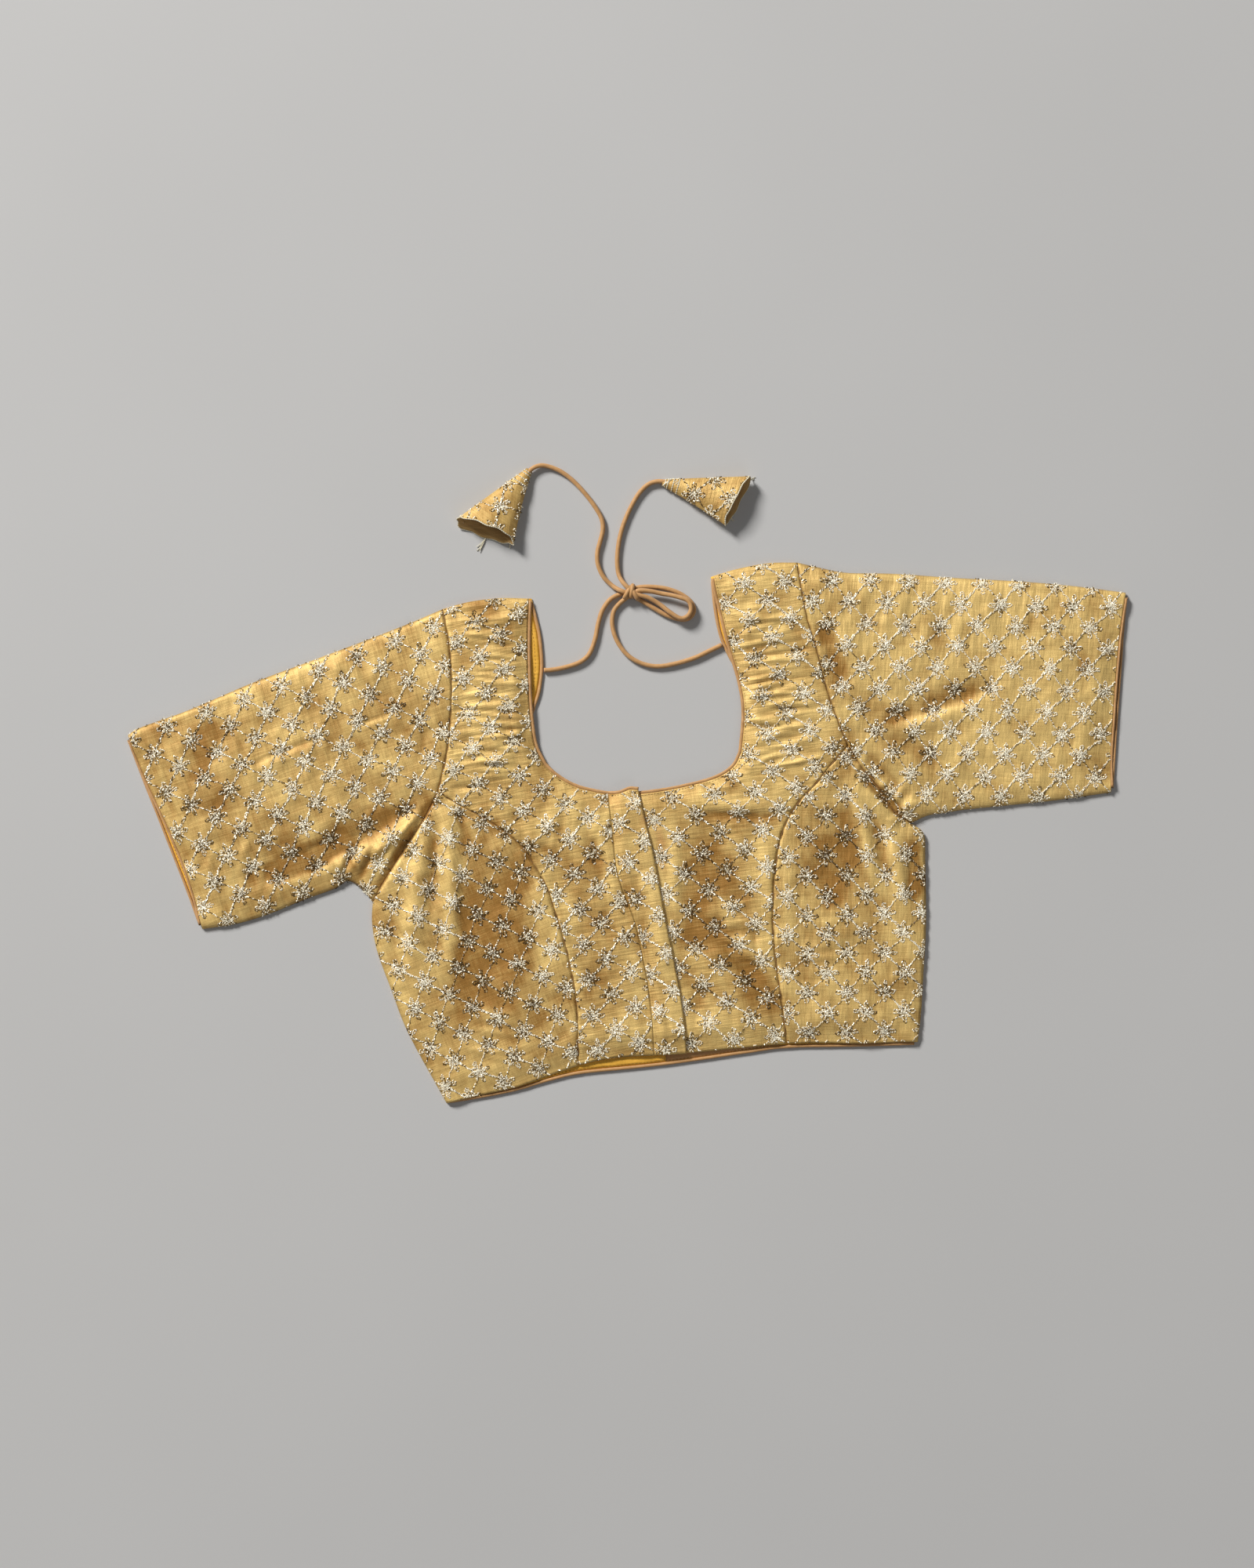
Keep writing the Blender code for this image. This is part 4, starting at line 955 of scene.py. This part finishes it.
def embroidery_tree():
    """Flowers of eight looped petals on a slanting lattice, joined by lines of stitches, on the sheet given.

    Every petal and line is cut into stitches, and those that miss the sheet are dropped.
    """
    tree, given, out = new_group(
        "embroidery",
        "GeometryNodeTree",
        [
            ("Sheet", "Geometry", None),
            ("Rising side", "Vector", (0.0145, 0.0157, 0)),
            ("Falling side", "Vector", (0.0145, -0.0157, 0)),
            ("Origin", "Vector", (0, 0, 0)),
            ("Turn", "Float", 0.0),
            ("Flowers a side", "Int", 25),
            ("Petal length", "Float", 0.0083),
            ("Petal half width", "Float", 0.0013),
            ("Short petal", "Float", 0.72),
            ("Pitch", "Float", 0.0012),
            ("Stitch", "Vector", (0.00095, 0.00055, 0.00042)),
            ("Segments", "Int", 4),
            ("Side", "Float", 1.0),
            ("Seed", "Int", 1),
            ("Thread", "Material", None),
        ],
        [("Stitches", "Geometry")],
    )
    seed = given["Seed"]
    tilt = chance_vector(tree, (0, 0, -0.13), (0, 0, 0.13), seed)
    growth = chance_vector(tree, (0.94, 0.9, 1), (1.06, 1.08, 1), seed)
    flowers = copies(tree, flower_places(tree, given), flower_motif(tree, given), tilt, growth)
    curves = node(tree, "GeometryNodeRealizeInstances", {0: flowers}).outputs[0]
    points = points_along(tree, curves, given["Pitch"])
    jitter = chance_vector(tree, (-STRAY, -STRAY, 0), (STRAY, STRAY, 0), seed)
    loose = moved_points(tree, points["Points"], Offset=jitter)
    hit, lost = landing(tree, given)
    dropped = {"Geometry": loose, "Selection": lost}
    kept = node(tree, "GeometryNodeDeleteGeometry", dropped, domain="POINT").outputs[0]
    proud = times(tree, split_xyz(tree, given["Stitch"])[2], 0.55)
    on_cloth = vector_math(tree, "ADD", hit["Hit Position"], scaled(tree, hit["Hit Normal"], proud))
    laid = moved_points(tree, kept, Position=on_cloth)
    # Stitches over painted shade on the cloth are darkened with it: painted shade carried onto the thread
    shade_painted_below = times(tree, minus(tree, hit["Attribute"], 0.8), 0.5)
    laid = stored(tree, laid, "below", shade_painted_below, "POINT")
    heading = aligned(tree, "X", points["Tangent"])
    heading = aligned(tree, "Z", hit["Hit Normal"], heading, "X")
    yaw = chance_vector(tree, (0, 0, 0.05), (0.5, 0.1, 0.75), seed)
    links = {"Rotation": heading, "Rotate By": yaw}
    heading = node(tree, "FunctionNodeRotateRotation", links, rotation_space="LOCAL").outputs[0]
    size = chance_vector(tree, (0.8, 0.8, 0.8), (1.2, 1.15, 1.2), seed)
    size = vector_math(tree, "MULTIPLY", size, given["Stitch"])
    stitches = copies(tree, laid, bead(tree, given["Segments"], 2), heading, size)
    # A random tone for each stitch; its dark end stands for tarnish and for painted shadow between the loops
    tone = node(tree, "FunctionNodeRandomValue", {"Seed": seed}, data_type="FLOAT").outputs["Value"]
    glint = plus(tree, tone, named_value(tree, "below"))
    stitches = stored(tree, stitches, "glint", glint, "INSTANCE")
    whole = node(tree, "GeometryNodeRealizeInstances", {0: stitches}).outputs[0]
    flat = node(tree, "GeometryNodeSetShadeSmooth", {"Geometry": whole, "Shade Smooth": False}).outputs[0]
    done = node(tree, "GeometryNodeSetMaterial", {"Geometry": flat, "Material": given["Thread"]}).outputs[0]
    tree.links.new(done, out[0])
    return tree


def stitching_tree():
    """A row of running stitches along the line given."""
    tree, given, out = new_group(
        "running_stitch",
        "GeometryNodeTree",
        [
            ("Line", "Geometry", None),
            ("Pitch", "Float", 0.0026),
            ("Stitch", "Vector", (0.0009, 0.0002, 0.00015)),
            ("Seed", "Int", 1),
            ("Thread", "Material", None),
        ],
        [("Stitches", "Geometry")],
    )
    curve = node(tree, "GeometryNodeMeshToCurve", {0: given["Line"]}).outputs[0]
    points = points_along(tree, curve, given["Pitch"])
    size = chance_vector(tree, (0.85, 0.9, 0.9), (1.15, 1.1, 1.1), given["Seed"])
    size = vector_math(tree, "MULTIPLY", size, given["Stitch"])
    heading = aligned(tree, "X", points["Tangent"])
    stitches = copies(tree, points["Points"], bead(tree, 6, 4), heading, size)
    whole = node(tree, "GeometryNodeRealizeInstances", {0: stitches}).outputs[0]
    done = node(tree, "GeometryNodeSetMaterial", {"Geometry": whole, "Material": given["Thread"]}).outputs[0]
    tree.links.new(done, out[0])
    return tree


def grown(name, mesh, tree, values):
    """A plain mesh of what a node tree makes from a mesh."""
    obj = bpy.data.objects.new(name, mesh)
    bpy.context.scene.collection.objects.link(obj)
    modifier = obj.modifiers.new("grow", "NODES")
    modifier.node_group = tree
    for item in tree.interface.items_tree:
        if item.in_out == "INPUT" and item.name in values:
            modifier[item.identifier] = values[item.name]
    graph = bpy.context.evaluated_depsgraph_get()
    whole = obj.evaluated_get(graph)
    made = bpy.data.meshes.new_from_object(whole, preserve_all_data_layers=True, depsgraph=graph)
    made.name = name
    obj.modifiers.clear()
    obj.data = made
    return obj


def embroider(name, sheet, seed, side=1.0, flowers=25):
    """The embroidery of one piece, on its upper side or, with a side of -1 and coarser, on its underside."""
    cell = LATTICES[name]
    sides = [
        (length * MM * math.cos(math.radians(way)), length * MM * math.sin(math.radians(way)), 0)
        for length, way in ((cell.rise_side, cell.rise), (cell.fall_side, cell.fall))
    ]
    if name in FALLING:
        sides.reverse()
    work = UPPER_WORK if side > 0 else UNDER_WORK
    values = {
        "Rising side": sides[0],
        "Falling side": sides[1],
        "Origin": (cell.x * MM, cell.y * MM, 0),
        "Turn": math.radians(weft_direction(name)),
        "Flowers a side": flowers,
        "Pitch": work.pitch,
        "Stitch": work.stitch,
        "Segments": work.segments,
        "Side": side,
        "Seed": seed,
        "Thread": zari,
    }
    obj = grown(f"{name}_{work.suffix}", drawn_in(sheet, work.margin), flower_tree, values)
    settle(obj)


@contextmanager
def editing(mesh):
    """The mesh as a BMesh, written back at the end."""
    bm = bmesh.new()
    bm.from_mesh(mesh)
    bm.verts.ensure_lookup_table()
    yield bm
    bm.to_mesh(mesh)
    bm.free()


def drawn_in(mesh, margin):
    """A copy of a sheet without the strip along its open edges."""
    copied = mesh.copy()
    with editing(copied) as bm:
        strip = bmesh.ops.inset_region(bm, faces=bm.faces[:], thickness=margin * MM, use_boundary=True)
        bmesh.ops.delete(bm, geom=strip["faces"], context="FACES")
    return copied


def stitch_row(name, line, thread, pitch=2.6, stitch=(0.0009, 0.0002, 0.00015)):
    """Running stitches along a line of points in space."""
    mesh = bpy.data.meshes.new(name)
    mesh.from_pydata((line * MM).tolist(), [(i, i + 1) for i in range(len(line) - 1)], [])
    obj = grown(name, mesh, stitch_tree, {"Pitch": pitch * MM, "Stitch": stitch, "Thread": thread})
    settle(obj)


def round_tube(name, line, radius, finish, sides=10, closed=False, swell=0.0, seed=0, flat=1.0):
    """A round trim or cord along a line of points, its UV map in metres round it and along it."""
    line = np.asarray(line, float)
    if closed:
        line = np.vstack([line, line[:1]])
        ahead = np.gradient(np.vstack([line[-2], line, line[1]]), axis=0)[1:-1]
    else:
        ahead = np.gradient(line, axis=0)
    ahead = unit(ahead)
    side = unit(np.cross(ahead, (0, 0, 1.0)))
    up = np.cross(side, ahead)
    travelled = np.concatenate([[0], np.cumsum(np.linalg.norm(np.diff(line, axis=0), axis=1))])
    sizes = radius * (1 + swell * np.random.default_rng(seed).uniform(-1, 1, len(line)))
    if closed:
        sizes[-1] = sizes[0]
    turn = np.linspace(0, 2 * np.pi, sides + 1)
    ring = np.cos(turn)[None, :, None] * side[:, None] + flat * np.sin(turn)[None, :, None] * up[:, None]
    grid = line[:, None] + sizes[:, None, None] * ring
    coordinates = np.stack(np.broadcast_arrays(turn[None] * radius, travelled[:, None]), axis=-1)
    mesh = sheet_mesh(name, grid, coordinates, facing_up=False, tube=True)
    finish_ends = weld_ends if closed else cap_ends
    finish_ends(mesh, len(line), sides)
    return add_object(name, mesh, finish)


def cap_ends(mesh, rings, sides):
    with editing(mesh) as bm:
        bm.faces.new([bm.verts[i] for i in range(sides)])
        bm.faces.new([bm.verts[(rings - 1) * sides + i] for i in reversed(range(sides))])
        bmesh.ops.recalc_face_normals(bm, faces=bm.faces)


def weld_ends(mesh, rings, sides):
    last = (rings - 1) * sides
    with editing(mesh) as bm:
        bmesh.ops.weld_verts(bm, targetmap={bm.verts[last + i]: bm.verts[i] for i in range(sides)})


# The pieces
def armhole(side):
    return joined(edge(f"armhole_upper_{side}", ARMHOLE_UPPER), edge(f"armhole_lower_{side}", ARMHOLE_LOWER))


def neckline(side):
    """The front's neckline from the shoulder, on the left as far as the placket's corner."""
    line = joined(edge(f"neck_strap_{side}", NECK_STRAP), edge(f"neck_base_{side}", NECK_BASE))
    return joined(line, edge("placket_top", PLACKET_COLUMNS)) if side == "left" else line


def placket_lift(plan):
    """How far the placket stands over the right front."""
    seam = smooth_line(EDGES["placket_seam"])
    past_seam = plan[..., 0] - np.interp(-plan[..., 1], -seam[:, 1], seam[:, 0])
    return PLACKET_LIFT * ease(past_seam / PLACKET_CLIMB)


def neck_height(plan, side):
    """How high the front lies beside its neck."""
    return upper_height(plan) + (placket_lift(plan) if side == "left" else 0)


def back_hem():
    return joined(edge("hem_back_left", 60), edge("hem_back_right", 80))


def upper_panel(name, plan, seed, lift=None):
    plan = inset(plan, SEAM_INSET)
    height = upper_height(plan)
    if lift is not None:
        height = height + lift(plan)
    cloth = turned(plan, weft_direction(name))
    mesh = sheet_mesh(name, raised(plan, height), cloth)
    give_tone(mesh, gold_and_painted_shade(plan))
    give_tone(mesh, rust(plan), "rust")
    sheet = mesh.copy()
    outside = tissue_across if name.startswith("front_side") else tissue
    obj = add_object(f"{name}_cloth", mesh, outside, lining)
    thicken(obj, CLOTH)
    settle(obj, [name])
    embroider(name, sheet, seed)


def make_fronts():
    trim = 2 * PIPING_RADIUS - TRIM_LAP
    inside_left = moved_left(neckline("left"), -trim)
    around_left, top = inside_left[:-PLACKET_COLUMNS], inside_left[-PLACKET_COLUMNS - 1 :]
    around_right = moved_left(neckline("right"), trim)
    seam = drawn_to(edge("placket_seam", CENTRE), start=around_left[-1])
    underlap = drawn_to(edge("underlap", CENTRE), start=around_right[-1])
    neck_left, neck_right = joined(around_left, seam), joined(around_right, underlap)
    shoulder_left = drawn_to(edge("shoulder_left", CENTRE_COLUMNS), end=neck_left[0])
    shoulder_right = drawn_to(edge("shoulder_right", CENTRE_COLUMNS), start=neck_right[0])
    outer_left, outer_right = (
        joined(edge(f"armhole_upper_{side}", ARMHOLE_UPPER), edge(f"princess_{side}", PRINCESS))
        for side in ("left", "right")
    )
    left = patch(outer_left, neck_left, shoulder_left, edge("hem_centre_left", CENTRE_COLUMNS))
    right = patch(neck_right, outer_right, shoulder_right, edge("hem_centre_right", CENTRE_COLUMNS))
    upper_panel("front_centre_left", left, 11)
    upper_panel("front_centre_right", right, 12)
    for seed, side in ((13, "left"), (14, "right")):
        outer = joined(edge(f"armhole_lower_{side}", ARMHOLE_LOWER), edge(f"side_{side}", SIDE))
        inner = edge(f"princess_{side}", PRINCESS)
        hem = edge(f"hem_side_{side}", SIDE_COLUMNS)
        tip = np.repeat(outer[:1], SIDE_COLUMNS + 1, axis=0)
        plan = patch(outer, inner, tip, hem) if side == "left" else patch(inner, outer, tip, hem)
        plan[0] += TIP_OPENING * (plan[1] - plan[0])
        upper_panel(f"front_side_{side}", plan, seed)
    lap = drawn_to(edge("placket_edge", CENTRE), start=top[-1])
    strip = patch(seam, lap, top, edge("hem_placket", PLACKET_COLUMNS))
    upper_panel("placket", strip, 15, lift=placket_lift)


def make_back():
    """The back in two halves that share the centre line, with the lining on its inner side."""
    halves = []
    for side in ("left", "right"):
        outer = joined(along(armhole(side), BACK_UPPER), edge(f"side_{side}", BACK_LOWER))
        neck = edge(f"neck_back_{side}", BACK_UPPER + BACK_SHIFT)
        inner = joined(neck[::-1] if side == "left" else neck, edge("centre_back", BACK_LOWER - BACK_SHIFT))
        ends = edge(f"shoulder_{side}", BACK_COLUMNS), edge(f"hem_back_{side}", BACK_COLUMNS)
        halves.append(patch(outer, inner, *ends) if side == "left" else patch(inner, outer, *ends))
    plan = np.concatenate([half.reshape(-1, 2) for half in halves])
    rows, columns = halves[0].shape[:2]
    quads = []
    for base in (0, rows * columns):
        index = base + np.arange(rows * columns).reshape(rows, columns)
        corners = (index[:-1, 1:], index[1:, 1:], index[1:, :-1], index[:-1, :-1])
        quads.append(np.stack(corners, axis=-1).reshape(-1, 4))
    quads = np.concatenate(quads)
    mesh = bpy.data.meshes.new("back")
    mesh.from_pydata((raised(plan, UNDERSIDE) * MM).tolist(), [], quads.tolist())
    mesh.uv_layers.new(name="Cloth").data.foreach_set("uv", (plan[quads.ravel()] * MM).ravel())
    give_tone(mesh, gold_and_painted_shade(plan))
    merge_close(mesh)
    mesh.shade_smooth()
    sheet = mesh.copy()
    obj = add_object("back_panel", mesh, tissue, lining)
    thicken(obj, CLOTH)
    settle(obj, ["back"])
    embroider("back", sheet, 21, side=-1.0, flowers=31)


def merge_close(mesh):
    with editing(mesh) as bm:
        bmesh.ops.remove_doubles(bm, verts=bm.verts, dist=0.02 * MM)


def sleeve_patches(side):
    """The plans of a sleeve's upper and lower layers, from the armhole to the cuff."""
    top = edge(f"sleeve_top_{side}", SLEEVE_ROWS)
    under = edge(f"sleeve_under_{side}", SLEEVE_ROWS)
    layers = []
    for level, columns in (("upper", ARMHOLE_UPPER + ARMHOLE_LOWER), ("lower", BENEATH_COLUMNS)):
        grid = patch(top, under, along(armhole(side), columns), edge(f"cuff_{level}_{side}", columns))
        for end, inner, room in ((0, 1, SEAM_INSET), (-1, -2, PIPING_RADIUS)):
            grid[end] += room * unit(grid[inner] - grid[end])
        layers.append(grid)
    return layers


def make_sleeve(side, seed):
    """A sleeve as one flattened tube of cloth, folded along its top and its underside."""
    upper, lower = sleeve_patches(side)
    name = f"sleeve_{side}"
    over = raised(upper, upper_height(upper, SLEEVE_FOLD))
    sinking = rounded(distance_to(lower, CLOSED), SLEEVE_ROUND_REACH)
    beneath = raised(lower, SLEEVE_FOLD + (UNDERSIDE - SLEEVE_FOLD) * sinking)
    for fold in (0, -1):
        over[:, fold, 2] = SLEEVE_FOLD
    grid = np.concatenate([over, beneath[:, -2:0:-1], over[:, :1]], axis=1)
    cloth = turned(grid[..., :2], weft_direction(name))
    mesh = sheet_mesh(name, grid, cloth, facing_up=side == "left", tube=True)
    give_tone(mesh, gold_and_painted_shade(grid[:, :-1, :2]))
    orient_outwards(mesh)
    sheet = mesh.copy()
    obj = add_object(f"{name}_cloth", mesh, tissue_across, lining)
    thicken(obj, SLEEVE_CLOTH)
    settle(obj, [name])
    embroider(name, sheet, seed)
    embroider(name, sheet, seed + 1, side=-1.0)


def orient_outwards(mesh):
    """Turns a tube's faces outwards, judged by those that look up, which lie above the others."""
    if sum(face.center.z * face.normal.z for face in mesh.polygons) < 0:
        mesh.flip_normals()


def make_seam_shadow_lines():
    """A dark thread-like line in each seam's ditch: a painted shadow of the ditch."""
    for seed, name in enumerate(SEAMS, 70):
        plan = edge(name, 90)[1:-1]
        line = raised(plan, upper_height(plan) - SEAM_SHADOW_SINK + 0.12 * ripple(plan, 3.0, 8))
        look = {"sides": 6, "swell": 0.25, "seed": seed}
        obj = round_tube(f"seam_{name}", line, SEAM_SHADOW_RADIUS, seam_shadow_line, **look)
        settle(obj)


def make_piping():
    for side, way in (("left", -1), ("right", 1)):
        rolled = moved_left(neckline(side), way * (PIPING_RADIUS - CUFF_LAP))[1:]
        sewn = moved_left(neckline(side), way * (2 * PIPING_RADIUS + NECK_STITCHES_GAP))[1:-1]
        if side == "right":
            rolled, sewn = within(rolled, 0, NECK_PIPING_START), within(sewn, 0, NECK_STITCHES_START)
        line = raised(rolled, neck_height(rolled, side) - NECK_PIPING_SINK)
        name = f"neck_edge_{side}"
        obj = round_tube(name, line, PIPING_RADIUS, tan_satin, swell=0.06, seed=31, flat=PIPING_FLATNESS)
        settle(obj, [f"neck_piping_{side}"])
        row = raised(sewn, neck_height(sewn, side) + THREAD_RISE)
        stitch_row(f"neck_stitches_{side}", row, brown_thread, NECK_PITCH)
    neck = joined(edge("neck_back_right", 80), edge("neck_back_left", 80))
    for name, whole, replaced in (
        ("neck_edge_back", neck, "neck_piping_back"),
        ("hem_edge", back_hem(), "hem_piping"),
    ):
        plan = moved_left(whole, PIPING_RADIUS - BACK_LAP)[1:-1]
        line = raised(plan, PIPING_MIDDLE)
        obj = round_tube(name, line, PIPING_RADIUS, tan_satin, swell=0.05, seed=32, flat=0.8)
        settle(obj, [replaced])
    for side in ("left", "right"):
        upper, lower = sleeve_patches(side)
        over, beneath = (
            layer[-1] + (PIPING_RADIUS - CUFF_LAP) * unit(layer[-1] - layer[-2]) for layer in (upper, lower)
        )
        over = raised(over, upper_height(upper[-1], SLEEVE_FOLD) - CUFF_PIPING_SINK)
        loop = np.vstack([over[3:-3], raised(beneath, PIPING_MIDDLE)[1:-1][::-1]])
        obj = round_tube(f"cuff_edge_{side}", loop, CUFF_RADIUS, tan_satin, closed=True, swell=0.05, seed=33)
        settle(obj, [f"cuff_piping_{side}"])


def facing(name, near, far, nodes, finish, row=0.33):
    """A turned strip on the lower layer, with a row of stitches at a share of its width."""
    share = np.linspace(0, 1, 7)[None, :, None]
    plan = near[:, None] * (1 - share) + far[:, None] * share
    height = UNDERSIDE + CLOTH + FACING_RISE + 0.15 * ripple(plan, 9, 6)
    height[:, -1] -= FACING_OUTER_SINK
    height[:, 0] -= FACING_INNER_SINK
    mesh = sheet_mesh(name, raised(plan, height), plan)
    orient_outwards(mesh)
    obj = add_object(name, mesh, finish, finish)
    thicken(obj, FACING_CLOTH)
    settle(obj, nodes)
    sewn = plan[:, 0] * (1 - row) + plan[:, -1] * row
    stitch_row(f"{name}_stitches", raised(sewn, height[:, 2] + THREAD_RISE), ochre_thread, FACING_PITCH)


def make_facings():
    clear = 2 * PIPING_RADIUS
    for name, low, high, nodes, finish, row in (
        ("hem_lining", -90, 32, ["hem_facing"], lining, 0.07),
        ("hem_binding", 30, 118, [], tan_satin, 0.03),
    ):
        stretch = within(back_hem(), 0, low, high)
        facing(name, moved_left(stretch, clear), moved_left(stretch, clear + HEM_FACING), nodes, finish, row)
    for side, low, high in (("right", 112, 186), ("left", 86, 172)):
        stretch = within(edge(f"neck_back_{side}", 120), 1, low, high)
        strip = moved_left(stretch, clear), moved_left(stretch, clear + NECK_FACING)
        facing(f"neck_lining_{side}", *strip, [f"neck_facing_{side}"], lining)
    for side, finish in (("left", lining), ("right", tan_satin)):
        lower = sleeve_patches(side)[1]
        rim = lower[-1, 2:-2]
        inwards = unit(lower[-2, 2:-2] - rim)
        near, far = rim + 0.6 * inwards, rim + CUFF_FACING * inwards
        facing(f"cuff_lining_{side}", near, far, [f"cuff_facing_{side}"], finish, 0.08)


def make_dori(side, route):
    line = smooth_line([(*point, LYING)[:3] for point in route], 12)
    path = along(line, round(length_of(line) / DORI_STEP))
    obj = round_tube(f"dori_{side}", path, DORI_RADIUS, tan_satin, sides=12, swell=0.03, seed=41)
    loop = {"left": "lower", "right": "upper"}[side]
    settle(obj, (f"dori_lead_{side}", f"dori_loop_{loop}", f"dori_end_{side}"))


def make_knot():
    """The turns of cord that bind the bow."""
    angle = np.linspace(0, 2 * np.pi, 28, endpoint=False)
    for k, (x, y, tilt) in enumerate(KNOT_TURNS):
        across = np.array([math.sin(tilt), math.cos(tilt)])
        plan = np.array([x, y]) + KNOT_MIDDLE * np.cos(angle)[:, None] * across
        turn = raised(plan, KNOT_MIDDLE + KNOT_RISE * np.sin(angle))
        obj = round_tube(f"knot_turn_{k}", turn, DORI_RADIUS, tan_satin, closed=True)
        settle(obj, ["dori_knot"] if k == 0 else [])


def cone_rings(cone, turn, waves):
    """The rings of a folded cone from its apex to its mouth, and their places on the cloth."""
    apex, mouth = np.array(cone.apex), np.array(cone.mouth)
    length = np.linalg.norm(mouth - apex)
    axis = (mouth - apex) / length
    across = np.array([-axis[1], axis[0]])
    rings, coordinates = [], []
    for share in np.linspace(0, 1, 31):
        half_width = APEX_RADIUS + (cone.mouth_width / 2 - APEX_RADIUS) * share
        half_height = APEX_RADIUS + (cone.mouth_height / 2 - APEX_RADIUS) * share
        wobble = 1 + CONE_WOBBLE * share * waves
        sideways = half_width * np.cos(turn) * wobble
        upwards = np.maximum(half_height + half_height * np.sin(turn) * wobble, UNDERSIDE)
        drawn_back = cone.open * share**2 * (0.5 + 0.5 * np.sin(turn))
        ahead = share * length - drawn_back + MOUTH_WAVE * share**6 * waves + cone.skew * share * sideways
        rings.append(raised(apex + ahead[:, None] * axis + sideways[:, None] * across, upwards))
        coordinates.append(np.stack([turn * half_width, ahead], axis=-1))
    return np.stack(rings), np.stack(coordinates)


def make_frays(name, rim, chance):
    """Loose ends of thread at a cone's mouth, each bundle from the nearest low point of its rim."""
    low = rim[rim[:, 2] < 0.6 * LATKANS[name].mouth_height]
    share = np.linspace(0, 1, 8)[:, None]
    for bundle, fray in enumerate(FRAYS[name]):
        start = low[np.linalg.norm(low[:, :2] - np.array([fray.x, fray.y]), axis=1).argmin()]
        for k in range(fray.threads):
            heading = math.radians(fray.heading + chance.uniform(-14, 14))
            away = np.array([math.cos(heading), math.sin(heading), 0])
            sideways = np.array([-away[1], away[0], 0])
            bend = chance.uniform(-1.4, 1.4) * np.sin(2.6 * share)
            strand = start + share * fray.reach * chance.uniform(0.55, 1.0) * away + bend * sideways
            strand[:, 2] = np.maximum(start[2] * (1 - share[:, 0]) ** 2, 0.4 + 0.15 * k)
            obj = round_tube(f"{name}_thread_{bundle}_{k}", strand, FRAY_RADIUS, zari_plain, sides=5)
            settle(obj)


def make_latkan(name, seed):
    """A cone of the cloth, with its embroidery, its stitched rim and collar, and its frayed threads."""
    turn = np.linspace(0, 2 * np.pi, 73)
    chance = np.random.default_rng(seed)
    waves = sum(chance.uniform(0.2, 0.6) * np.sin(k * turn + chance.uniform(0, 6)) for k in (3, 5, 8))
    rings, coordinates = cone_rings(LATKANS[name], turn, waves)
    mesh = sheet_mesh(name, rings, coordinates, tube=True)
    give_tone(mesh, CONE_TONE + CONE_PATCHES * ripple(rings[:, :-1, :2], 9, seed))
    orient_outwards(mesh)
    sheet = mesh.copy()
    obj = add_object(f"{name}_cone", mesh, tissue, lining_brown)
    thicken(obj, CONE_CLOTH)
    settle(obj, [name])
    embroider(name, sheet, seed, flowers=9)
    embroider(name, sheet, seed + 1, side=-1.0, flowers=9)
    proud = np.array([0, 0, 0.1])
    collar = np.vstack([rings[k][:-1] for k in (1, 2, 4, 6)])
    for part, line, pitch in (("rim", rings[-1], RIM_PITCH), ("collar", collar, COLLAR_PITCH)):
        stitch_row(f"{name}_{part}", line + proud, zari_plain, pitch, CONE_STITCH)
    make_frays(name, rings[-1], chance)
    return obj


def make_stage():
    bpy.ops.mesh.primitive_plane_add(size=8, location=(0, 0, 0))
    floor = bpy.context.active_object
    floor.name = "floor"
    floor.data.materials.append(floor_finish())
    for name, place, size, power in (
        ("key", (-4.4, 5.2, 4.3), 2.0, 880),
        ("fill", (1.8, -3.4, 2.6), 2.0, 18),
        ("top", (0.4, 0.2, 4.4), 1.6, 10),
    ):
        light = bpy.data.lights.new(name, "AREA")
        light.energy = power
        light.size = size
        obj = bpy.data.objects.new(name, light)
        obj.location = place
        obj.rotation_euler = (-Vector(place)).to_track_quat("-Z", "Y").to_euler()
        bpy.context.scene.collection.objects.link(obj)
    world = bpy.data.worlds.new("studio")
    world.use_nodes = True
    surroundings = world.node_tree.nodes["Background"].inputs
    surroundings["Color"].default_value = (0.9, 0.92, 0.95, 1)
    surroundings["Strength"].default_value = 0.12
    bpy.context.scene.world = world
    bpy.context.scene.view_settings.view_transform = "Standard"


def make_camera():
    """Straight above the garment. The photograph's long side covers 1.2 m of the floor."""
    camera = bpy.data.cameras.new("camera")
    camera.sensor_width = 36
    camera.lens = 90
    obj = bpy.data.objects.new("camera", camera)
    obj.location = (0, 0.0372, 3.0)
    bpy.context.scene.collection.objects.link(obj)
    bpy.context.scene.camera = obj


weave_group = slub_weave()
flower_tree = embroidery_tree()
stitch_tree = stitching_tree()
GOLD = ((0.36, 0.175, 0.035), (0.80, 0.55, 0.19), 0.48, 0.25, 0.45, 3200, 0.04, True)
tissue = woven("gold_tissue", *GOLD, across=0.3)
tissue_across = woven("gold_tissue_across", *GOLD, across=0.75)
lining = woven("yellow_lining", (0.68, 0.35, 0.035), (0.92, 0.50, 0.07), 0.75, 0.0, 0.3, 1500)
lining_brown = woven("brown_reverse", (0.34, 0.19, 0.06), (0.62, 0.39, 0.15), 0.7, 0.1, 0.3, 1500)
tan_satin = satin("tan_satin", (0.42, 0.21, 0.07), (0.64, 0.36, 0.145))
zari = zari_thread()
zari_plain = sewing_thread("loose_zari", (0.85, 0.78, 0.58))
brown_thread = sewing_thread("brown_thread", (0.30, 0.15, 0.05))
ochre_thread = sewing_thread("ochre_thread", (0.35, 0.17, 0.02))
# The colour of the painted shadow in the seams' ditches
seam_shadow_line = sewing_thread("seam_shadow_line", (0.32, 0.165, 0.055))

make_camera()
make_stage()
cones = {name: make_latkan(name, seed) for name, seed in (("latkan_left", 51), ("latkan_right", 53))}
make_dori("left", DORI_LEFT)
make_dori("right", DORI_RIGHT)
make_knot()
make_back()
make_fronts()
make_sleeve("left", 61)
make_sleeve("right", 63)
make_seam_shadow_lines()
make_piping()
make_facings()
